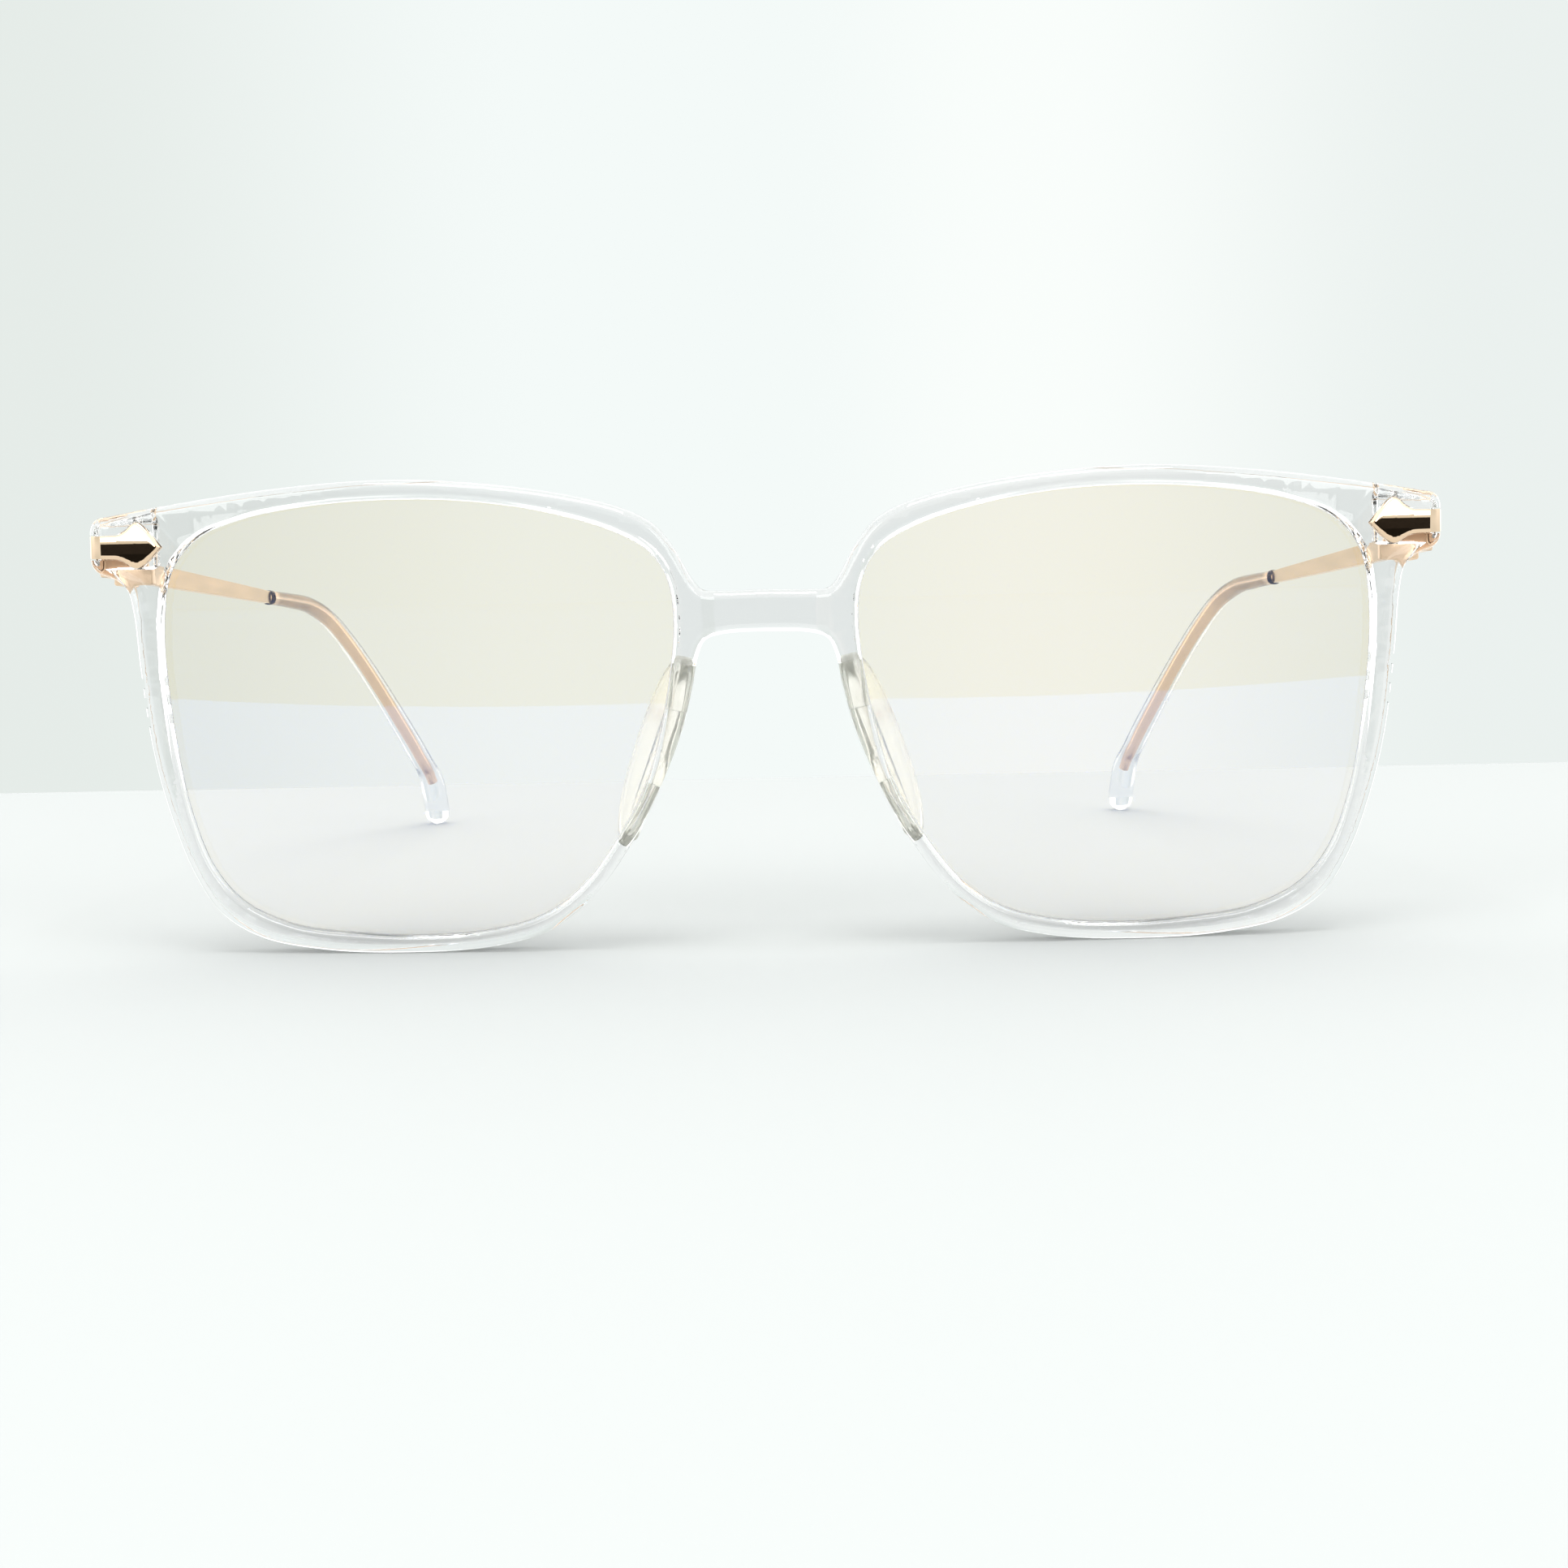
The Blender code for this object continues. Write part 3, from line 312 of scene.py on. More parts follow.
def rod(start, end, radius):
    """A round bar from one point to another."""
    start, end = Vector(start), Vector(end)
    turn = (end - start).to_track_quat("Z", "Y").to_matrix().to_4x4()
    bm = bmesh.new()
    bmesh.ops.create_cone(bm, cap_ends=True, segments=DRILL_SIDES, radius1=radius, radius2=radius,
                          depth=(end - start).length, matrix=Matrix.Translation((start + end) / 2) @ turn)
    return bm


def skin(rings):
    """A skin over rings of points, shut at both ends."""
    bm = bmesh.new()
    rows = [[bm.verts.new(p) for p in ring] for ring in rings]
    for near, far in zip(rows, rows[1:]):
        for i in range(len(near)):
            bm.faces.new((near[i - 1], near[i], far[i], far[i - 1]))
    bm.faces.new(rows[0])
    bm.faces.new(rows[-1])
    bmesh.ops.recalc_face_normals(bm, faces=bm.faces)
    return bm


# ---- pieces as objects ----------------------------------------------------------------------
def mirror(bm):
    """Turn a piece of the left side into one of the right."""
    bmesh.ops.scale(bm, vec=(-1, 1, 1), verts=bm.verts)
    bmesh.ops.reverse_faces(bm, faces=bm.faces)


def link(name, bm, sign=1):
    """Make an object of a bmesh drawn on the left; sign -1 mirrors it to the right."""
    if sign < 0:
        mirror(bm)
    mesh = bpy.data.meshes.new(name)
    bm.to_mesh(mesh)
    bm.free()
    made = bpy.data.objects.new(name, mesh)
    bpy.context.scene.collection.objects.link(made)
    return made


def joined(solids):
    """Several solids in one bmesh."""
    whole = bmesh.new()
    for bm in solids:
        mesh = bpy.data.meshes.new("part")
        bm.to_mesh(mesh)
        bm.free()
        whole.from_mesh(mesh)
        bpy.data.meshes.remove(mesh)
    return whole


def combine(target, solids, operation):
    """Join solids to a piece, cut them away or keep what is shared, and keep the result."""
    tool = link("tool", joined(solids))
    step = target.modifiers.new("Shape", "BOOLEAN")
    step.operation = operation
    step.object = tool
    graph = bpy.context.evaluated_depsgraph_get()
    graph.update()
    result = bpy.data.meshes.new_from_object(target.evaluated_get(graph))
    target.modifiers.clear()
    target.data = result
    bpy.data.objects.remove(tool)


def both_sides(make):
    """The solids that a function draws on the left, with their mirror images."""
    solids = make()
    for bm in make():
        mirror(bm)
        solids.append(bm)
    return solids


def show(obj, node, finish, body="front", angle=32):
    """Put a fine piece in the place of its CAD node."""
    if obj.data.materials:    # even an empty list, when cleared, forgets which faces have a second material
        obj.data.materials.clear()
    obj.data.materials.append(finish)
    obj.data.shade_smooth()
    obj.data.set_sharp_from_angle(angle=math.radians(angle))
    even = obj.modifiers.new("Even shading", "WEIGHTED_NORMAL")
    even.keep_sharp = True
    even.weight = 80
    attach(obj, body)
    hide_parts(node)


# ---- the clear front ------------------------------------------------------------------------
def outline_loop():
    """The front's whole outline."""
    other = [(-x, z) for x, z in OUTLINE[-2:0:-1]]
    return outwards(smooth_loop(OUTLINE + other, OUTLINE_STEPS))


def aperture_loop(sign=1):
    """A lens opening."""
    return outwards([Vector((p.x * sign, p.y)) for p in smooth_loop(APERTURE, APERTURE_STEPS)])


def rounded(radius, depth, inwards, steps=6, deep=1.25):
    """A wall profile with both edges rounded, each deeper than wide by the factor deep.

    inwards is -1 where material is inside the loop, and 1 where it is outside.
    """
    near = [(inwards * radius * (1 - math.sin(a)), deep * radius * (1 - math.cos(a)))
            for a in quarter_turn(steps)]
    return near, [(offset, depth - y) for offset, y in reversed(near)]


def grid_cut(bm, low, high, step, across=True):
    """Cut every face along evenly spaced planes, so that the bend curves it smoothly."""
    count = int((high - low) / step)
    for i in range(count + 1):
        at = low + step * i
        everything = bm.verts[:] + bm.edges[:] + bm.faces[:]
        place, facing = ((at, 0, 0), (1, 0, 0)) if across else ((0, 0, at), (0, 0, 1))
        bmesh.ops.bisect_plane(bm, geom=everything, dist=1e-6, plane_co=place, plane_no=facing)


def end_piece():
    """The thick corner behind the rim, whose back is square to the temple."""
    front = [to_row((x * MM, END_PIECE_FRONT, z * MM)) for x, z in END_PIECE_NEAR]
    back = [hinge_axes() @ Vector((x * MM, END_PIECE_BACK, z * MM)) for x, z in END_PIECE_FAR]
    bm = skin([front, back])
    bmesh.ops.bevel(bm, geom=bm.edges[:], offset=END_PIECE_ROUND, segments=5, profile=0.5, affect="EDGES")
    return bm


def hinge_axes():
    """The left hinge's own axes: out, along the temple's bar, and up its pin."""
    start = HINGE_AT + Vector((BAR_CENTRE, BUTT, 0))
    along = (BAR_END - start).normalized()
    up = (Vector((0, 0, 1)) - along * along.z).normalized()
    out = along.cross(up)
    axes = Matrix((out, along, up)).transposed().to_4x4()
    axes.translation = HINGE_AT + Vector((0, FRONT_BACK_SHIFT, REST_DROP))
    return axes


def notch(height):
    """One of the three shallow notches in the outer edge of a rim."""
    edge = NOTCH_EDGE - NOTCH_SLANT * (NOTCH_HEIGHTS[0] - height)
    half = NOTCH_TALL / 2
    return box((edge - NOTCH_DEEP, -CUT_BEYOND, height - half),
               (edge + 2 * CUT_BEYOND, RIM_DEPTH + CUT_BEYOND, height + half))


def add_front():
    """The clear moulding, with everything that is cut into it."""
    near, far = rounded(OUTER_ROUND, RIM_DEPTH, -1)
    walls = [(outline_loop(), near + far)]
    near, far = rounded(INNER_ROUND, RIM_DEPTH, 1, steps=5, deep=1.5)
    groove = [(0, GROOVE_MID - GROOVE_HALF), (GROOVE_DEEP, GROOVE_MID), (0, GROOVE_MID + GROOVE_HALF)]
    walls += [(aperture_loop(sign), near + groove + far) for sign in (1, -1)]
    bm = plate(walls)
    grid_cut(bm, -GRID_SIDE, GRID_SIDE, GRID_STEP)
    grid_cut(bm, GRID_LOW, GRID_HIGH, GRID_STEP, across=False)
    for across in (BRIDGE_STEP_TO, BRIDGE_STEP_FROM):
        for sign in (1, -1):
            everything = bm.verts[:] + bm.edges[:] + bm.faces[:]
            bmesh.ops.bisect_plane(bm, geom=everything, plane_co=(sign * across, 0, 0), plane_no=(1, 0, 0))
    for vert in bm.verts:
        share = (BRIDGE_STEP_FROM - abs(vert.co.x)) / (BRIDGE_STEP_FROM - BRIDGE_STEP_TO)
        vert.co.y += BRIDGE_STEP * min(1, max(0, share)) * (1 - vert.co.y / RIM_DEPTH)
    front = link("front_moulding", bend(bm))
    combine(front, both_sides(lambda: [end_piece()]), "UNION")
    combine(front, both_sides(front_cuts), "DIFFERENCE")
    below = box((-FAR, -FAR, -FAR / 10), (FAR, FAR, 0))
    combine(front, [below], "DIFFERENCE")
    show(front, "frame_front", crystal())


def front_cuts():
    """What is cut into one side of the front."""
    cuts = [bend(trim_shape(TRIM_GAP)), bend(peg_socket()), plate_screw_hole()]
    cuts += [bend(foot) for foot in pad_feet(FOOT_GAP)]
    cuts += [bend(notch(height)) for height in NOTCH_HEIGHTS]
    return cuts


def trim_shape(grow):
    """The spear-shaped plate that wraps the corner, or with grow the recess that holds it."""
    low = smooth_loop(SPEAR_LOW, SPEAR_STEPS, closed=False)
    high = smooth_loop(SPEAR_HIGH, SPEAR_STEPS, closed=False)
    spear = offset_loop(outwards(low + high[:-1]), grow)
    reach = RECESS_REACH * grow
    proud = TRIM_PROUD + reach
    if grow:
        corner = [Vector((TRIM_SIDE + reach, -proud))]
        slope = [(0, SPEAR_FRONT)]
    else:
        corner = [Vector(p) * MM for p in TRIM_CORNER]
        slope = [(TRIM_SLOPE * (math.sin(a) - 1), TRIM_SLOPE_DEEP * (1 - math.cos(a)) - proud)
                 for a in quarter_turn(TRIM_SLOPE_STEPS)]
    plan = [Vector((PLAN_INNER, -proud))] + corner
    plan += [Vector((corner[-1].x, TRIM_BACK + reach)), Vector((TRIM_INSIDE - grow, TRIM_BACK + reach)),
             Vector((TRIM_INSIDE - grow, TRIM_SUNK + grow)), Vector((PLAN_INNER, TRIM_SUNK + grow))]
    tall = link("plan", prism(plan, PLAN_LOW, PLAN_HIGH))
    combine(tall, [plate([(spear, slope + [(0, SPEAR_BACK)])])], "INTERSECT")
    bm = bmesh.new()
    bm.from_mesh(tall.data)
    bpy.data.objects.remove(tall)
    return bm


def add_trim(side, sign):
    """The polished plate on the corner, with its face slightly crowned."""
    bm = trim_shape(0)
    rim = [edge for edge in bm.edges if all(vert.co.x > TRIM_SIDE - NEAR_TO for vert in edge.verts)]
    bmesh.ops.bevel(bm, geom=rim, offset=TRIM_BEVEL, segments=3, profile=0.5, affect="EDGES")
    grid_cut(bm, *TRIM_GRID_ACROSS)
    grid_cut(bm, *TRIM_GRID_UP, across=False)
    for vert in bm.verts:
        if vert.co.y < 0:
            fall = TRIM_CROWN * ((vert.co.z - TRIM_MIDDLE) / MM) ** 2
            vert.co.y += fall * min(1, -vert.co.y / TRIM_FACE)
    trim = link(f"{side}_polished_trim", bend(bm), sign)
    show(trim, f"{side}_corner_trim", TRIM_GOLD, angle=28)


def peg_socket():
    """The socket of the peg behind the trim."""
    x, z = PEG_AT
    return rod((x, PEG_START, z), (x, PEG_END + TRIM_GAP, z), PEG_RADIUS + TRIM_GAP)


def plate_screw_hole():
    """The pilot hole for the hinge plate's screw in the end-piece."""
    x, z = PLATE_SCREW_AT
    hole = rod((x, PLATE_SCREW_END - HOLE_DEEPER, z), (x, PLATE_BACK, z), PLATE_SCREW_RADIUS + HOLE_WIDER)
    bmesh.ops.transform(hole, matrix=hinge_axes(), verts=hole.verts)
    return hole


def pad_feet(grow):
    """The two feet that plug a nose pad into its rim, or with grow their sockets."""
    feet = []
    for x, z, long, lean in FEET:
        half = Vector((FOOT_THICK / 2 + grow, 0, long / 2 * MM + grow))
        foot = box((-half.x, RIM_DEPTH - FOOT_DEEP - grow, -half.z),
                   (half.x, RIM_DEPTH + FOOT_BEHIND, half.z))
        turn = Matrix.Translation((x * MM, 0, z * MM)) @ Matrix.Rotation(math.radians(-lean), 4, "Y")
        bmesh.ops.transform(foot, matrix=turn, verts=foot.verts)
        feet.append(foot)
    return feet


# ---- lens and pad ---------------------------------------------------------------------------
def add_disc(bm, edge_ring, middle, depth):
    """A flat face inside a ring, made of narrowing rings so that it bends smoothly."""
    outer = edge_ring
    for ring in range(LENS_RINGS - 1, 0, -1):
        size = (ring / LENS_RINGS) ** RING_CROWDING
        inner = []
        for vert in edge_ring:
            x = middle.x + (vert.co.x - middle.x) * size
            z = middle.y + (vert.co.z - middle.y) * size
            inner.append(bm.verts.new((x, depth, z)))
        for i in range(len(inner)):
            bm.faces.new((outer[i - 1], outer[i], inner[i], inner[i - 1]))
        outer = inner
    hub = bm.verts.new((middle.x, depth, middle.y))
    for i in range(len(outer)):
        bm.faces.new((outer[i - 1], outer[i], hub))


def add_lens(side, sign):
    """A lens with a V edge that sits in the rim's groove."""
    loop = offset_loop(aperture_loop(), -LENS_GAP)
    near = GROOVE_MID - LENS_THICK / 2
    far = GROOVE_MID + LENS_THICK / 2
    shoulder = GROOVE_HALF - LENS_GAP
    middle = sum(loop, Vector((0, 0))) / len(loop)
    profile = [(0, near), (0, GROOVE_MID - shoulder), (GROOVE_DEEP - LENS_GAP, GROOVE_MID),
               (0, GROOVE_MID + shoulder), (0, far)]
    bm = bmesh.new()
    ends = add_wall(bm, loop, profile)
    for face in bm.faces:    # the V edge is ground, and its material is the second
        face.material_index = 1
    for edge_ring, depth in zip(ends, (near, far)):
        add_disc(bm, edge_ring, middle, depth)
    bmesh.ops.recalc_face_normals(bm, faces=bm.faces)
    lens = link(f"{side}_lens_sheet", bend(bm), sign)
    show(lens, f"{side}_lens", LENS)
    lens.data.materials.append(LENS_EDGE)


def pad_axes():
    """The nose pad's own axes on the flat front: back from the rim, through it, and up it."""
    x, z = PAD_MIDDLE
    long = Vector((-math.sin(PAD_LEAN), 0, math.cos(PAD_LEAN)))
    beside = Vector((math.cos(PAD_LEAN), 0, math.sin(PAD_LEAN)))
    back = Vector((0, math.cos(PAD_FLARE), 0)) + beside * math.sin(PAD_FLARE)
    through = long.cross(back)
    axes = Matrix((back, through, long)).transposed().to_4x4()
    axes.translation = Vector((x, RIM_DEPTH + PAD_START, z))
    return axes


def add_pad(side, sign):
    """The soft clear pad that rests on the nose."""
    near, far = rounded(PAD_ROUND, PAD_THICK, -1, deep=1)
    loop = outwards(smooth_loop(PAD_OUTLINE, PAD_STEPS))
    bm = plate([(loop, near + far)])
    place = pad_axes() @ Matrix.Translation((0, -PAD_THICK / 2, 0))
    bmesh.ops.transform(bm, matrix=place, verts=bm.verts)
    pad = link(f"{side}_soft_pad", bend(bm))
    combine(pad, [bend(foot) for foot in pad_feet(0)], "UNION")
    if sign < 0:
        pad.data.transform(Matrix.Diagonal((-1, 1, 1, 1)))
        pad.data.flip_normals()
    show(pad, f"{side}_nose_pad", SILICONE)


# ---- temples --------------------------------------------------------------------------------
def section(centre, along, half_side, half_up, squareness):
    """A ring about a path: a circle at squareness 2, closer to a rectangle above it."""
    side = along.cross(Vector((0, 0, 1))).normalized()
    up = side.cross(along)
    ring = []
    for i in range(AROUND):
        a = 2 * math.pi * (i + 0.5) / AROUND
        c, s = math.cos(a), math.sin(a)
        across = math.copysign(abs(c) ** (2 / squareness), c) * half_side
        height = math.copysign(abs(s) ** (2 / squareness), s) * half_up
        ring.append(centre + side * across + up * height)
    return ring


def path_points():
    """The temple's path behind its bar, with the direction and the distance at each point."""
    points = smooth_loop(EAR_PATH, EAR_STEPS, closed=False)
    shift = Vector((0, FRONT_BACK_SHIFT, REST_DROP))
    points = [p + shift for p in points]
    gone = 0.0
    result = []
    for i, point in enumerate(points):
        ahead = points[min(i + 1, len(points) - 1)]
        behind = points[max(i - 1, 0)]
        if i:
            gone += (point - points[i - 1]).length
        result.append((point, (ahead - behind).normalized(), gone))
    return result


def add_temple(side, sign):
    """The metal temple: a flat bar that ends as the round core of its tip."""
    start = hinge_axes() @ Vector((BAR_CENTRE, BUTT, 0))
    path = path_points()
    end = path[0][0]
    along = (end - start).normalized()
    half = BAR_THICK / 2
    length = (end - start).length
    rings = []
    for distance, size in BAR_START_ROUND:
        centre = start + along * distance
        rings.append(section(centre, along, half * size, BAR_TALL_FRONT / 2 * size, BAR_SQUARE))
    for step in range(1, BAR_STEPS):
        share = step / BAR_STEPS
        tall = BAR_TALL_FRONT + (BAR_TALL_BACK - BAR_TALL_FRONT) * share
        rings.append(section(start + along * length * share, along, half, tall / 2, BAR_SQUARE))
    for distance, size in BAR_END_ROUND:
        centre = start + along * (length - distance)
        rings.append(section(centre, along, half * size, BAR_TALL_BACK / 2 * size, BAR_SQUARE_END))
    last = path[-1][2] - CORE_SHORT
    for point, direction, gone in path:
        if gone < last:
            radius = core_radius(gone / last)
            rings.append(section(point, direction, radius, radius, ROUND))
            tail = (point, direction, gone)
    point, direction, gone = tail
    rings.append(section(point + direction * (last - gone), direction, CORE_THINNER, CORE_THINNER, ROUND))
    temple = link(f"{side}_metal_temple", skin(rings), sign)
    show(temple, f"{side}_temple", BAR_GOLD, f"{side}_temple")


def core_radius(share):
    """The core's radius along its length, from 0 to 1."""
    return CORE_RADIUS + (CORE_THINNER - CORE_RADIUS) * min(1, share)


def sleeve_size(share):
    """Half width and half height of the sleeve, along its length from 0 to 1."""
    swell = min(1, share / SLEEVE_THICK_AT) ** SLEEVE_SWELL
    body = SLEEVE_RADIUS + (SLEEVE_THICKER - SLEEVE_RADIUS) * swell
    paddle = max(0, min(1, (share - PADDLE_FROM) / (PADDLE_WHOLE - PADDLE_FROM)))
    paddle = paddle * paddle * (3 - 2 * paddle)    # eases at both ends
    return body + (PADDLE_SIDE - body) * paddle, body + (PADDLE_UP - body) * paddle


def add_tip(side, sign):
    """The clear sleeve over the core, with its thicker end: open in front, blind behind."""
    path = path_points()
    total = path[-1][2]
    first, direction, _ = path[0]
    outer = [section(first + direction * (SLEEVE_START + along), direction, size, size, LIP_SQUARE)
             for along, size in SLEEVE_LIP_ROUND]
    last = total - CORE_SHORT
    bore = CORE_RADIUS - MOULDED_ON
    inner = [section(first + direction * SLEEVE_START, direction, bore, bore, ROUND)]
    for point, direction, gone in path:
        if gone < SLEEVE_START + SLEEVE_FROM:
            continue
        side_half, up_half = sleeve_size(gone / total)
        outer.append(section(point, direction, side_half, up_half, SLEEVE_SQUARE))
        if gone < last:
            bore = core_radius(gone / last) - MOULDED_ON
            inner.append(section(point, direction, bore, bore, ROUND))
            tail = (point, direction, gone)
    point, direction, gone = tail
    reach = last - MOULDED_ON - gone
    inner.append(section(point + direction * reach, direction, bore, bore, ROUND))
    point, direction, _ = path[-1]
    for turn in PADDLE_TURNS:
        size = math.cos(math.radians(turn))
        end = point + direction * (math.sin(math.radians(turn)) * PADDLE_SIDE)
        outer.append(section(end, direction, PADDLE_SIDE * size, PADDLE_UP * size, PADDLE_SQUARE))
    tip = link(f"{side}_clear_tip", skin(inner[::-1] + outer), sign)
    show(tip, f"{side}_temple_tip", TIP, f"{side}_temple")


# ---- materials ------------------------------------------------------------------------------
# The clear plastic's base colour: its own grey tint straight on, and a painted highlight of white where it is
# seen edge-on.
CRYSTAL_FACE = (0.875, 0.87, 0.875)
CRYSTAL_EDGE_HIGHLIGHT = (1, 1, 1)


def principled(name, **values):
    """A new Principled material and its shader."""
    made = bpy.data.materials.new(name)
    made.use_nodes = True
    shader = made.node_tree.nodes["Principled BSDF"]
    for key, value in values.items():
        shader.inputs[key.replace("_", " ")].default_value = value
    return made, shader


def ramp(nodes, links, source, start, end):
    """0 to 1 as a value goes from start to end, easing at both."""
    node = nodes.new("ShaderNodeMapRange")
    node.interpolation_type = "SMOOTHSTEP"
    node.inputs["From Min"].default_value = start
    node.inputs["From Max"].default_value = end
    links.new(source, node.inputs["Value"])
    return node.outputs["Result"]


def times(nodes, links, one, other):
    """The product of two values."""
    node = nodes.new("ShaderNodeMath")
    node.operation = "MULTIPLY"
    links.new(one, node.inputs[0])
    links.new(other, node.inputs[1])
    return node.outputs["Value"]


def mixed(nodes, links, share, first, second):
    """A colour between two others; each is a socket or a plain colour."""
    node = nodes.new("ShaderNodeMix")
    node.data_type = "RGBA"
    links.new(share, node.inputs["Factor"])
    for key, value in (("A", first), ("B", second)):
        socket = [i for i in node.inputs if i.name == key and i.type == "RGBA"][0]
        if isinstance(value, tuple):
            socket.default_value = (*value, 1)
        else:
            links.new(value, socket)
    return [o for o in node.outputs if o.type == "RGBA"][0]


def surface_noise(made, shader, scale, rough, bump, depth, detail=4, stretch=(1, 1, 1)):
    """Uneven polish, between two roughnesses, and faint waves, from noise in the piece's own space."""
    nodes, links = made.node_tree.nodes, made.node_tree.links
    place = nodes.new("ShaderNodeTexCoord")
    size = nodes.new("ShaderNodeMapping")
    size.inputs["Scale"].default_value = stretch
    noise = nodes.new("ShaderNodeTexNoise")
    noise.inputs["Scale"].default_value = scale
    noise.inputs["Detail"].default_value = detail
    spread = nodes.new("ShaderNodeMapRange")
    spread.inputs["From Min"].default_value = 0.3
    spread.inputs["From Max"].default_value = 0.7
    spread.inputs["To Min"].default_value = rough[0]
    spread.inputs["To Max"].default_value = rough[1]
    raised = nodes.new("ShaderNodeBump")
    raised.inputs["Strength"].default_value = bump
    raised.inputs["Distance"].default_value = depth
    links.new(place.outputs["Object"], size.inputs["Vector"])
    links.new(size.outputs["Vector"], noise.inputs["Vector"])
    links.new(noise.outputs["Fac"], spread.inputs["Value"])
    links.new(noise.outputs["Fac"], raised.inputs["Height"])
    links.new(spread.outputs["Result"], shader.inputs["Roughness"])
    links.new(raised.outputs["Normal"], shader.inputs["Normal"])


def crystal():
    """Clear injection-moulded plastic, polished: a little grey straight on, its own tint, and painted white
    at its edges as a highlight.
    """
    made, shader = principled("crystal_moulding", Transmission_Weight=1.0, IOR=1.5)
    surface_noise(made, shader, scale=260, rough=(0.0, 0.02), bump=0.08, depth=0.02 * MM)
    nodes, links = made.node_tree.nodes, made.node_tree.links
    # Painted highlight: Layer Weight lifts the base colour from the grey face to white where the surface is
    # seen edge-on, in place of the bright bands that the rounded edges refract.
    edge = nodes.new("ShaderNodeLayerWeight")
    edge.inputs["Blend"].default_value = 0.5
    share = ramp(nodes, links, edge.outputs["Facing"], 0.02, 0.2)
    links.new(mixed(nodes, links, share, CRYSTAL_FACE, CRYSTAL_EDGE_HIGHLIGHT), shader.inputs["Base Color"])
    return made


def lens_coating():
    """Resin with a blue-reflecting coating, which leaves what passes slightly warm."""
    made, shader = principled("coated_lens", Base_Color=(0.95, 0.935, 0.93, 1), Transmission_Weight=1.0,
                              IOR=2.1, Specular_Tint=(0.12, 0.33, 1.0, 1))
    surface_noise(made, shader, scale=90, rough=(0.0, 0.012), bump=0.02, depth=0.01 * MM, detail=2)
    return made


def ground_edge():
    """The lens's frosted, ground edge, without its coating."""
    made, shader = principled("ground_lens_edge", Base_Color=(0.94, 0.945, 0.95, 1),
                              Transmission_Weight=0.35, IOR=1.5)
    surface_noise(made, shader, scale=1800, rough=(0.4, 0.6), bump=0.2, depth=0.01 * MM)
    return made


def silicone():
    """Soft, slightly yellow translucent silicone."""
    made, shader = principled("pad_silicone", Base_Color=(0.94, 0.94, 0.86, 1),
                              Transmission_Weight=0.75, IOR=1.41)
    surface_noise(made, shader, scale=900, rough=(0.1, 0.2), bump=0.05, depth=0.01 * MM)
    return made


def rose_gold(name, rough, bump, stretch=(1, 1, 1)):
    """Rose-gold plating."""
    made, shader = principled(name, Base_Color=(0.9, 0.67, 0.47, 1), Metallic=1.0)
    surface_noise(made, shader, scale=700, rough=rough, bump=bump, depth=0.02 * MM, detail=5, stretch=stretch)
    return made


def tip_plastic():
    """Clear plastic of the temple tips."""
    made, shader = principled("tip_plastic", Base_Color=(0.93, 0.95, 0.985, 1),
                              Transmission_Weight=1.0, IOR=1.49)
    surface_noise(made, shader, scale=500, rough=(0.1, 0.2), bump=0.1, depth=0.03 * MM)
    return made


def nylon():
    """Slightly milky nylon."""
    made, shader = principled("washer_nylon", Base_Color=(0.9, 0.9, 0.88, 1), Transmission_Weight=0.3)
    surface_noise(made, shader, scale=1500, rough=(0.3, 0.5), bump=0.2, depth=0.01 * MM)
    return made


def steel():
    """Turned and plated screw steel."""
    made, shader = principled("screw_steel", Base_Color=(0.72, 0.69, 0.66, 1), Metallic=1.0)
    surface_noise(made, shader, scale=2500, rough=(0.12, 0.3), bump=0.2, depth=0.005 * MM, detail=3,
                  stretch=(1, 1, 0.2))
    return made


def dress_cad_nodes():
    """Materials for the CAD nodes that are shown as they are."""
    hinge_gold = rose_gold("hinge_gold", (0.28, 0.42), 0.2)
    finishes = {"hinge_front": hinge_gold, "hinge_temple": hinge_gold,
                "hinge_screw": steel(), "plate_screw": steel(),
                "upper_washer": nylon(), "lower_washer": nylon()}
    for side in ("left", "right"):
        for part, finish in finishes.items():
            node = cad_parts[f"{side}_{part}"]
            node.data.materials.clear()
            node.data.materials.append(finish)


# ---- stage ----------------------------------------------------------------------------------
CAMERA_AT = Vector((2.370, -225.367, 36.195)) * MM + Vector((0, FRONT_BACK_SHIFT, REST_DROP))
CAMERA_YAW = 0.223
CAMERA_PITCH = -4.794
CAMERA_ROLL = 1.165
CAMERA_LENS = 50.44
LIT_POINT = Vector((0, -0.05, 0.02))    # the softboxes face it

FLOOR_WHITE = (0.405, 0.418, 0.413, 1)
FLOOR_SIDE = 1.5
FLOOR_NEAR = -2
FLOOR_FRONT = -0.243          # nearer than this line, the floor isn't reflected in polished surfaces
FLOOR_BACK = 0.149

# The tent's colours by direction, a vector of length 1: where each starts along it, and where it is whole.
TENT_BEHIND = (0.905, 0.955, 0.94)
TENT_ACROSS = [(-0.1, -0.32, (0.79, 0.84, 0.81)), (0.0, 0.1, (0.95, 0.985, 0.965)),
               (0.12, 0.3, (0.83, 0.88, 0.86))]
TENT_UP = [(0.34, 0.46, (1.7, 1.72, 1.71)), (-0.09, -0.14, (0.92, 0.955, 0.94))]
PANEL_WHITE = (2.1, 2.1, 2.1)    # the bright panels behind, at both sides
PANEL_INNER = (0.38, 0.46)
PANEL_OUTER = (0.92, 0.82)
PANEL_BEHIND = (0.2, 0.35)

CARD_AT = -0.8                # how far in front the dark card stands, and its size; it stands in for the unlit room behind the camera, as a painted dark reflection
CARD_SIDE = 1.4
CARD_LOW = -0.6
CARD_HIGH = 0.155
LIGHT_BOUNCES = 16


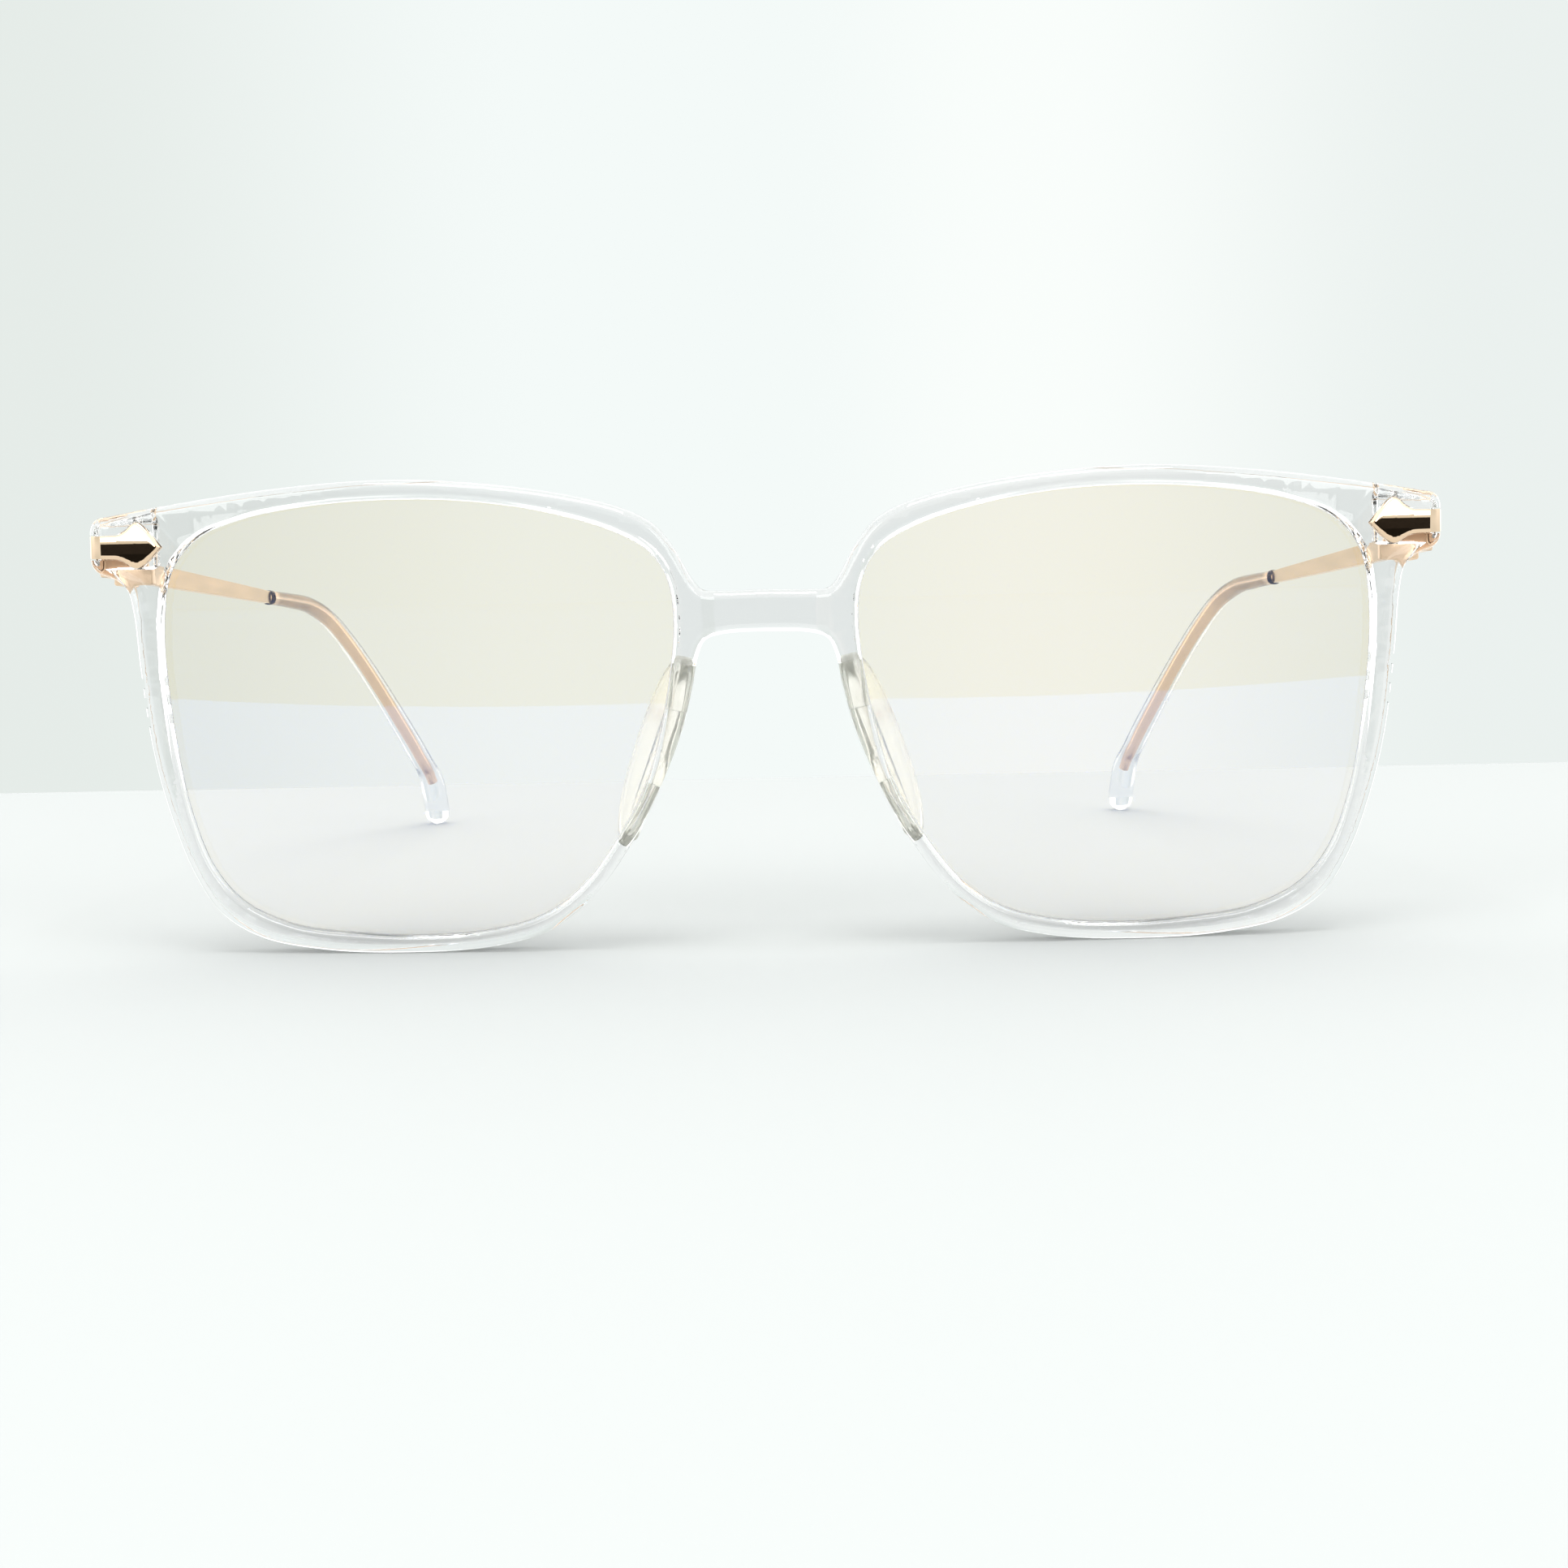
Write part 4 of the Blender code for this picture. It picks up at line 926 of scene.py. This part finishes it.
def add_camera():
    """The camera, level with the glasses and close in front of them."""
    data = bpy.data.cameras.new("camera")
    data.lens = CAMERA_LENS
    data.sensor_width = 36
    data.clip_start = 0.01
    camera = bpy.data.objects.new("camera", data)
    upright = Matrix.Rotation(math.radians(90), 4, "X")
    turn = (Matrix.Rotation(math.radians(CAMERA_YAW), 4, "Z")
            @ Matrix.Rotation(math.radians(CAMERA_PITCH), 4, "X")
            @ Matrix.Rotation(math.radians(CAMERA_ROLL), 4, "Y"))
    camera.matrix_world = Matrix.Translation(CAMERA_AT) @ turn @ upright
    bpy.context.scene.collection.objects.link(camera)
    bpy.context.scene.camera = camera


def add_softbox(name, at, width, height, brightness):
    """A soft rectangular light that faces the glasses; its brightness is that of its surface."""
    data = bpy.data.lights.new(name, "AREA")
    data.shape = "RECTANGLE"
    data.size = width
    data.size_y = height
    data.energy = math.pi * width * height * brightness
    lamp = bpy.data.objects.new(name, data)
    lamp.location = at
    lamp.rotation_euler = (LIT_POINT - Vector(at)).to_track_quat("-Z", "Y").to_euler()
    bpy.context.scene.collection.objects.link(lamp)


def add_floor(name, near, far, shown_in_mirrors):
    """A piece of the pale floor, from near to far."""
    bm = bmesh.new()
    corners = [(-FLOOR_SIDE, near), (FLOOR_SIDE, near), (FLOOR_SIDE, far), (-FLOOR_SIDE, far)]
    bm.faces.new([bm.verts.new((x, y, 0)) for x, y in corners])
    floor = link(name, bm)
    made, shader = principled(name, Base_Color=FLOOR_WHITE, Roughness=0.8, Specular_IOR_Level=0.1)
    floor.data.materials.append(made)
    floor.visible_glossy = shown_in_mirrors


def add_world():
    """A white tent: even behind the glasses, brighter above them and at the sides."""
    world = bpy.data.worlds.new("surround")
    bpy.context.scene.world = world
    world.use_nodes = True
    nodes, links = world.node_tree.nodes, world.node_tree.links
    nodes.clear()
    out = nodes.new("ShaderNodeOutputWorld")
    back = nodes.new("ShaderNodeBackground")
    place = nodes.new("ShaderNodeTexCoord")
    split = nodes.new("ShaderNodeSeparateXYZ")
    links.new(place.outputs["Generated"], split.inputs["Vector"])
    across, along, up = (split.outputs[axis] for axis in "XYZ")
    fold = nodes.new("ShaderNodeMath")
    fold.operation = "ABSOLUTE"
    links.new(across, fold.inputs[0])
    side = fold.outputs["Value"]
    tent = TENT_BEHIND
    for start, whole, colour in TENT_ACROSS:
        tent = mixed(nodes, links, ramp(nodes, links, across, start, whole), tent, colour)
    inner = ramp(nodes, links, side, *PANEL_INNER)
    outer = ramp(nodes, links, side, *PANEL_OUTER)
    behind = ramp(nodes, links, along, *PANEL_BEHIND)
    panel = times(nodes, links, times(nodes, links, inner, outer), behind)
    tent = mixed(nodes, links, panel, tent, PANEL_WHITE)
    for start, whole, colour in TENT_UP:
        tent = mixed(nodes, links, ramp(nodes, links, up, start, whole), tent, colour)
    links.new(tent, back.inputs["Color"])
    links.new(back.outputs["Background"], out.inputs["Surface"])


def add_dark_card():
    """A black card behind the camera, seen in polished surfaces only: it stands in for the unlit room there,
    as a painted dark reflection.
    """
    bm = bmesh.new()
    corners = [(-CARD_SIDE, CARD_LOW), (CARD_SIDE, CARD_LOW), (CARD_SIDE, CARD_HIGH), (-CARD_SIDE, CARD_HIGH)]
    bm.faces.new([bm.verts.new((x, CARD_AT, z)) for x, z in corners])
    card = link("dark_card", bm)
    made, shader = principled("dark_card", Base_Color=(0.02, 0.018, 0.016, 1), Roughness=1.0,
                              Specular_IOR_Level=0.0)
    card.data.materials.append(made)
    # seen in reflections only: a painted dark reflection of the unlit room behind the camera
    card.visible_camera = False
    card.visible_diffuse = False
    card.visible_transmission = False
    card.visible_shadow = False


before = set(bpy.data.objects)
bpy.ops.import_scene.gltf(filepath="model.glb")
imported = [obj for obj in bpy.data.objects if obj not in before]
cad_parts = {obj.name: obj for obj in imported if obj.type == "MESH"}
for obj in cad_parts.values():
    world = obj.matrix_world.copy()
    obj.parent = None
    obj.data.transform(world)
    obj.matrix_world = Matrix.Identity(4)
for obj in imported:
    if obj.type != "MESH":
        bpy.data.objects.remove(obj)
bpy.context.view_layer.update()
LENS = lens_coating()
LENS_EDGE = ground_edge()
SILICONE = silicone()
TRIM_GOLD = rose_gold("trim_gold", (0.0, 0.03), 0.02)
BAR_GOLD = rose_gold("bar_gold", (0.12, 0.2), 0.06, stretch=(1, 0.15, 1))
TIP = tip_plastic()

add_front()
for side_name, side_sign in (("left", 1), ("right", -1)):
    add_lens(side_name, side_sign)
    add_trim(side_name, side_sign)
    add_pad(side_name, side_sign)
    add_temple(side_name, side_sign)
    add_tip(side_name, side_sign)
dress_cad_nodes()

add_camera()
add_world()
add_floor("floor", FLOOR_FRONT, FLOOR_BACK, True)
add_floor("floor_in_front", FLOOR_NEAR, FLOOR_FRONT, False)
add_dark_card()
add_softbox("top_softbox", at=(0, -0.35, 1.5), width=1.0, height=0.8, brightness=5.2)
for aside in (1, -1):
    add_softbox("front_softbox", at=(1.2 * aside, -1.4, 0.76), width=0.95, height=0.9, brightness=3.5)

view = bpy.context.scene.view_settings
view.view_transform = "Standard"
view.look = "None"
bpy.context.scene.cycles.max_bounces = LIGHT_BOUNCES
bpy.context.scene.cycles.transmission_bounces = LIGHT_BOUNCES
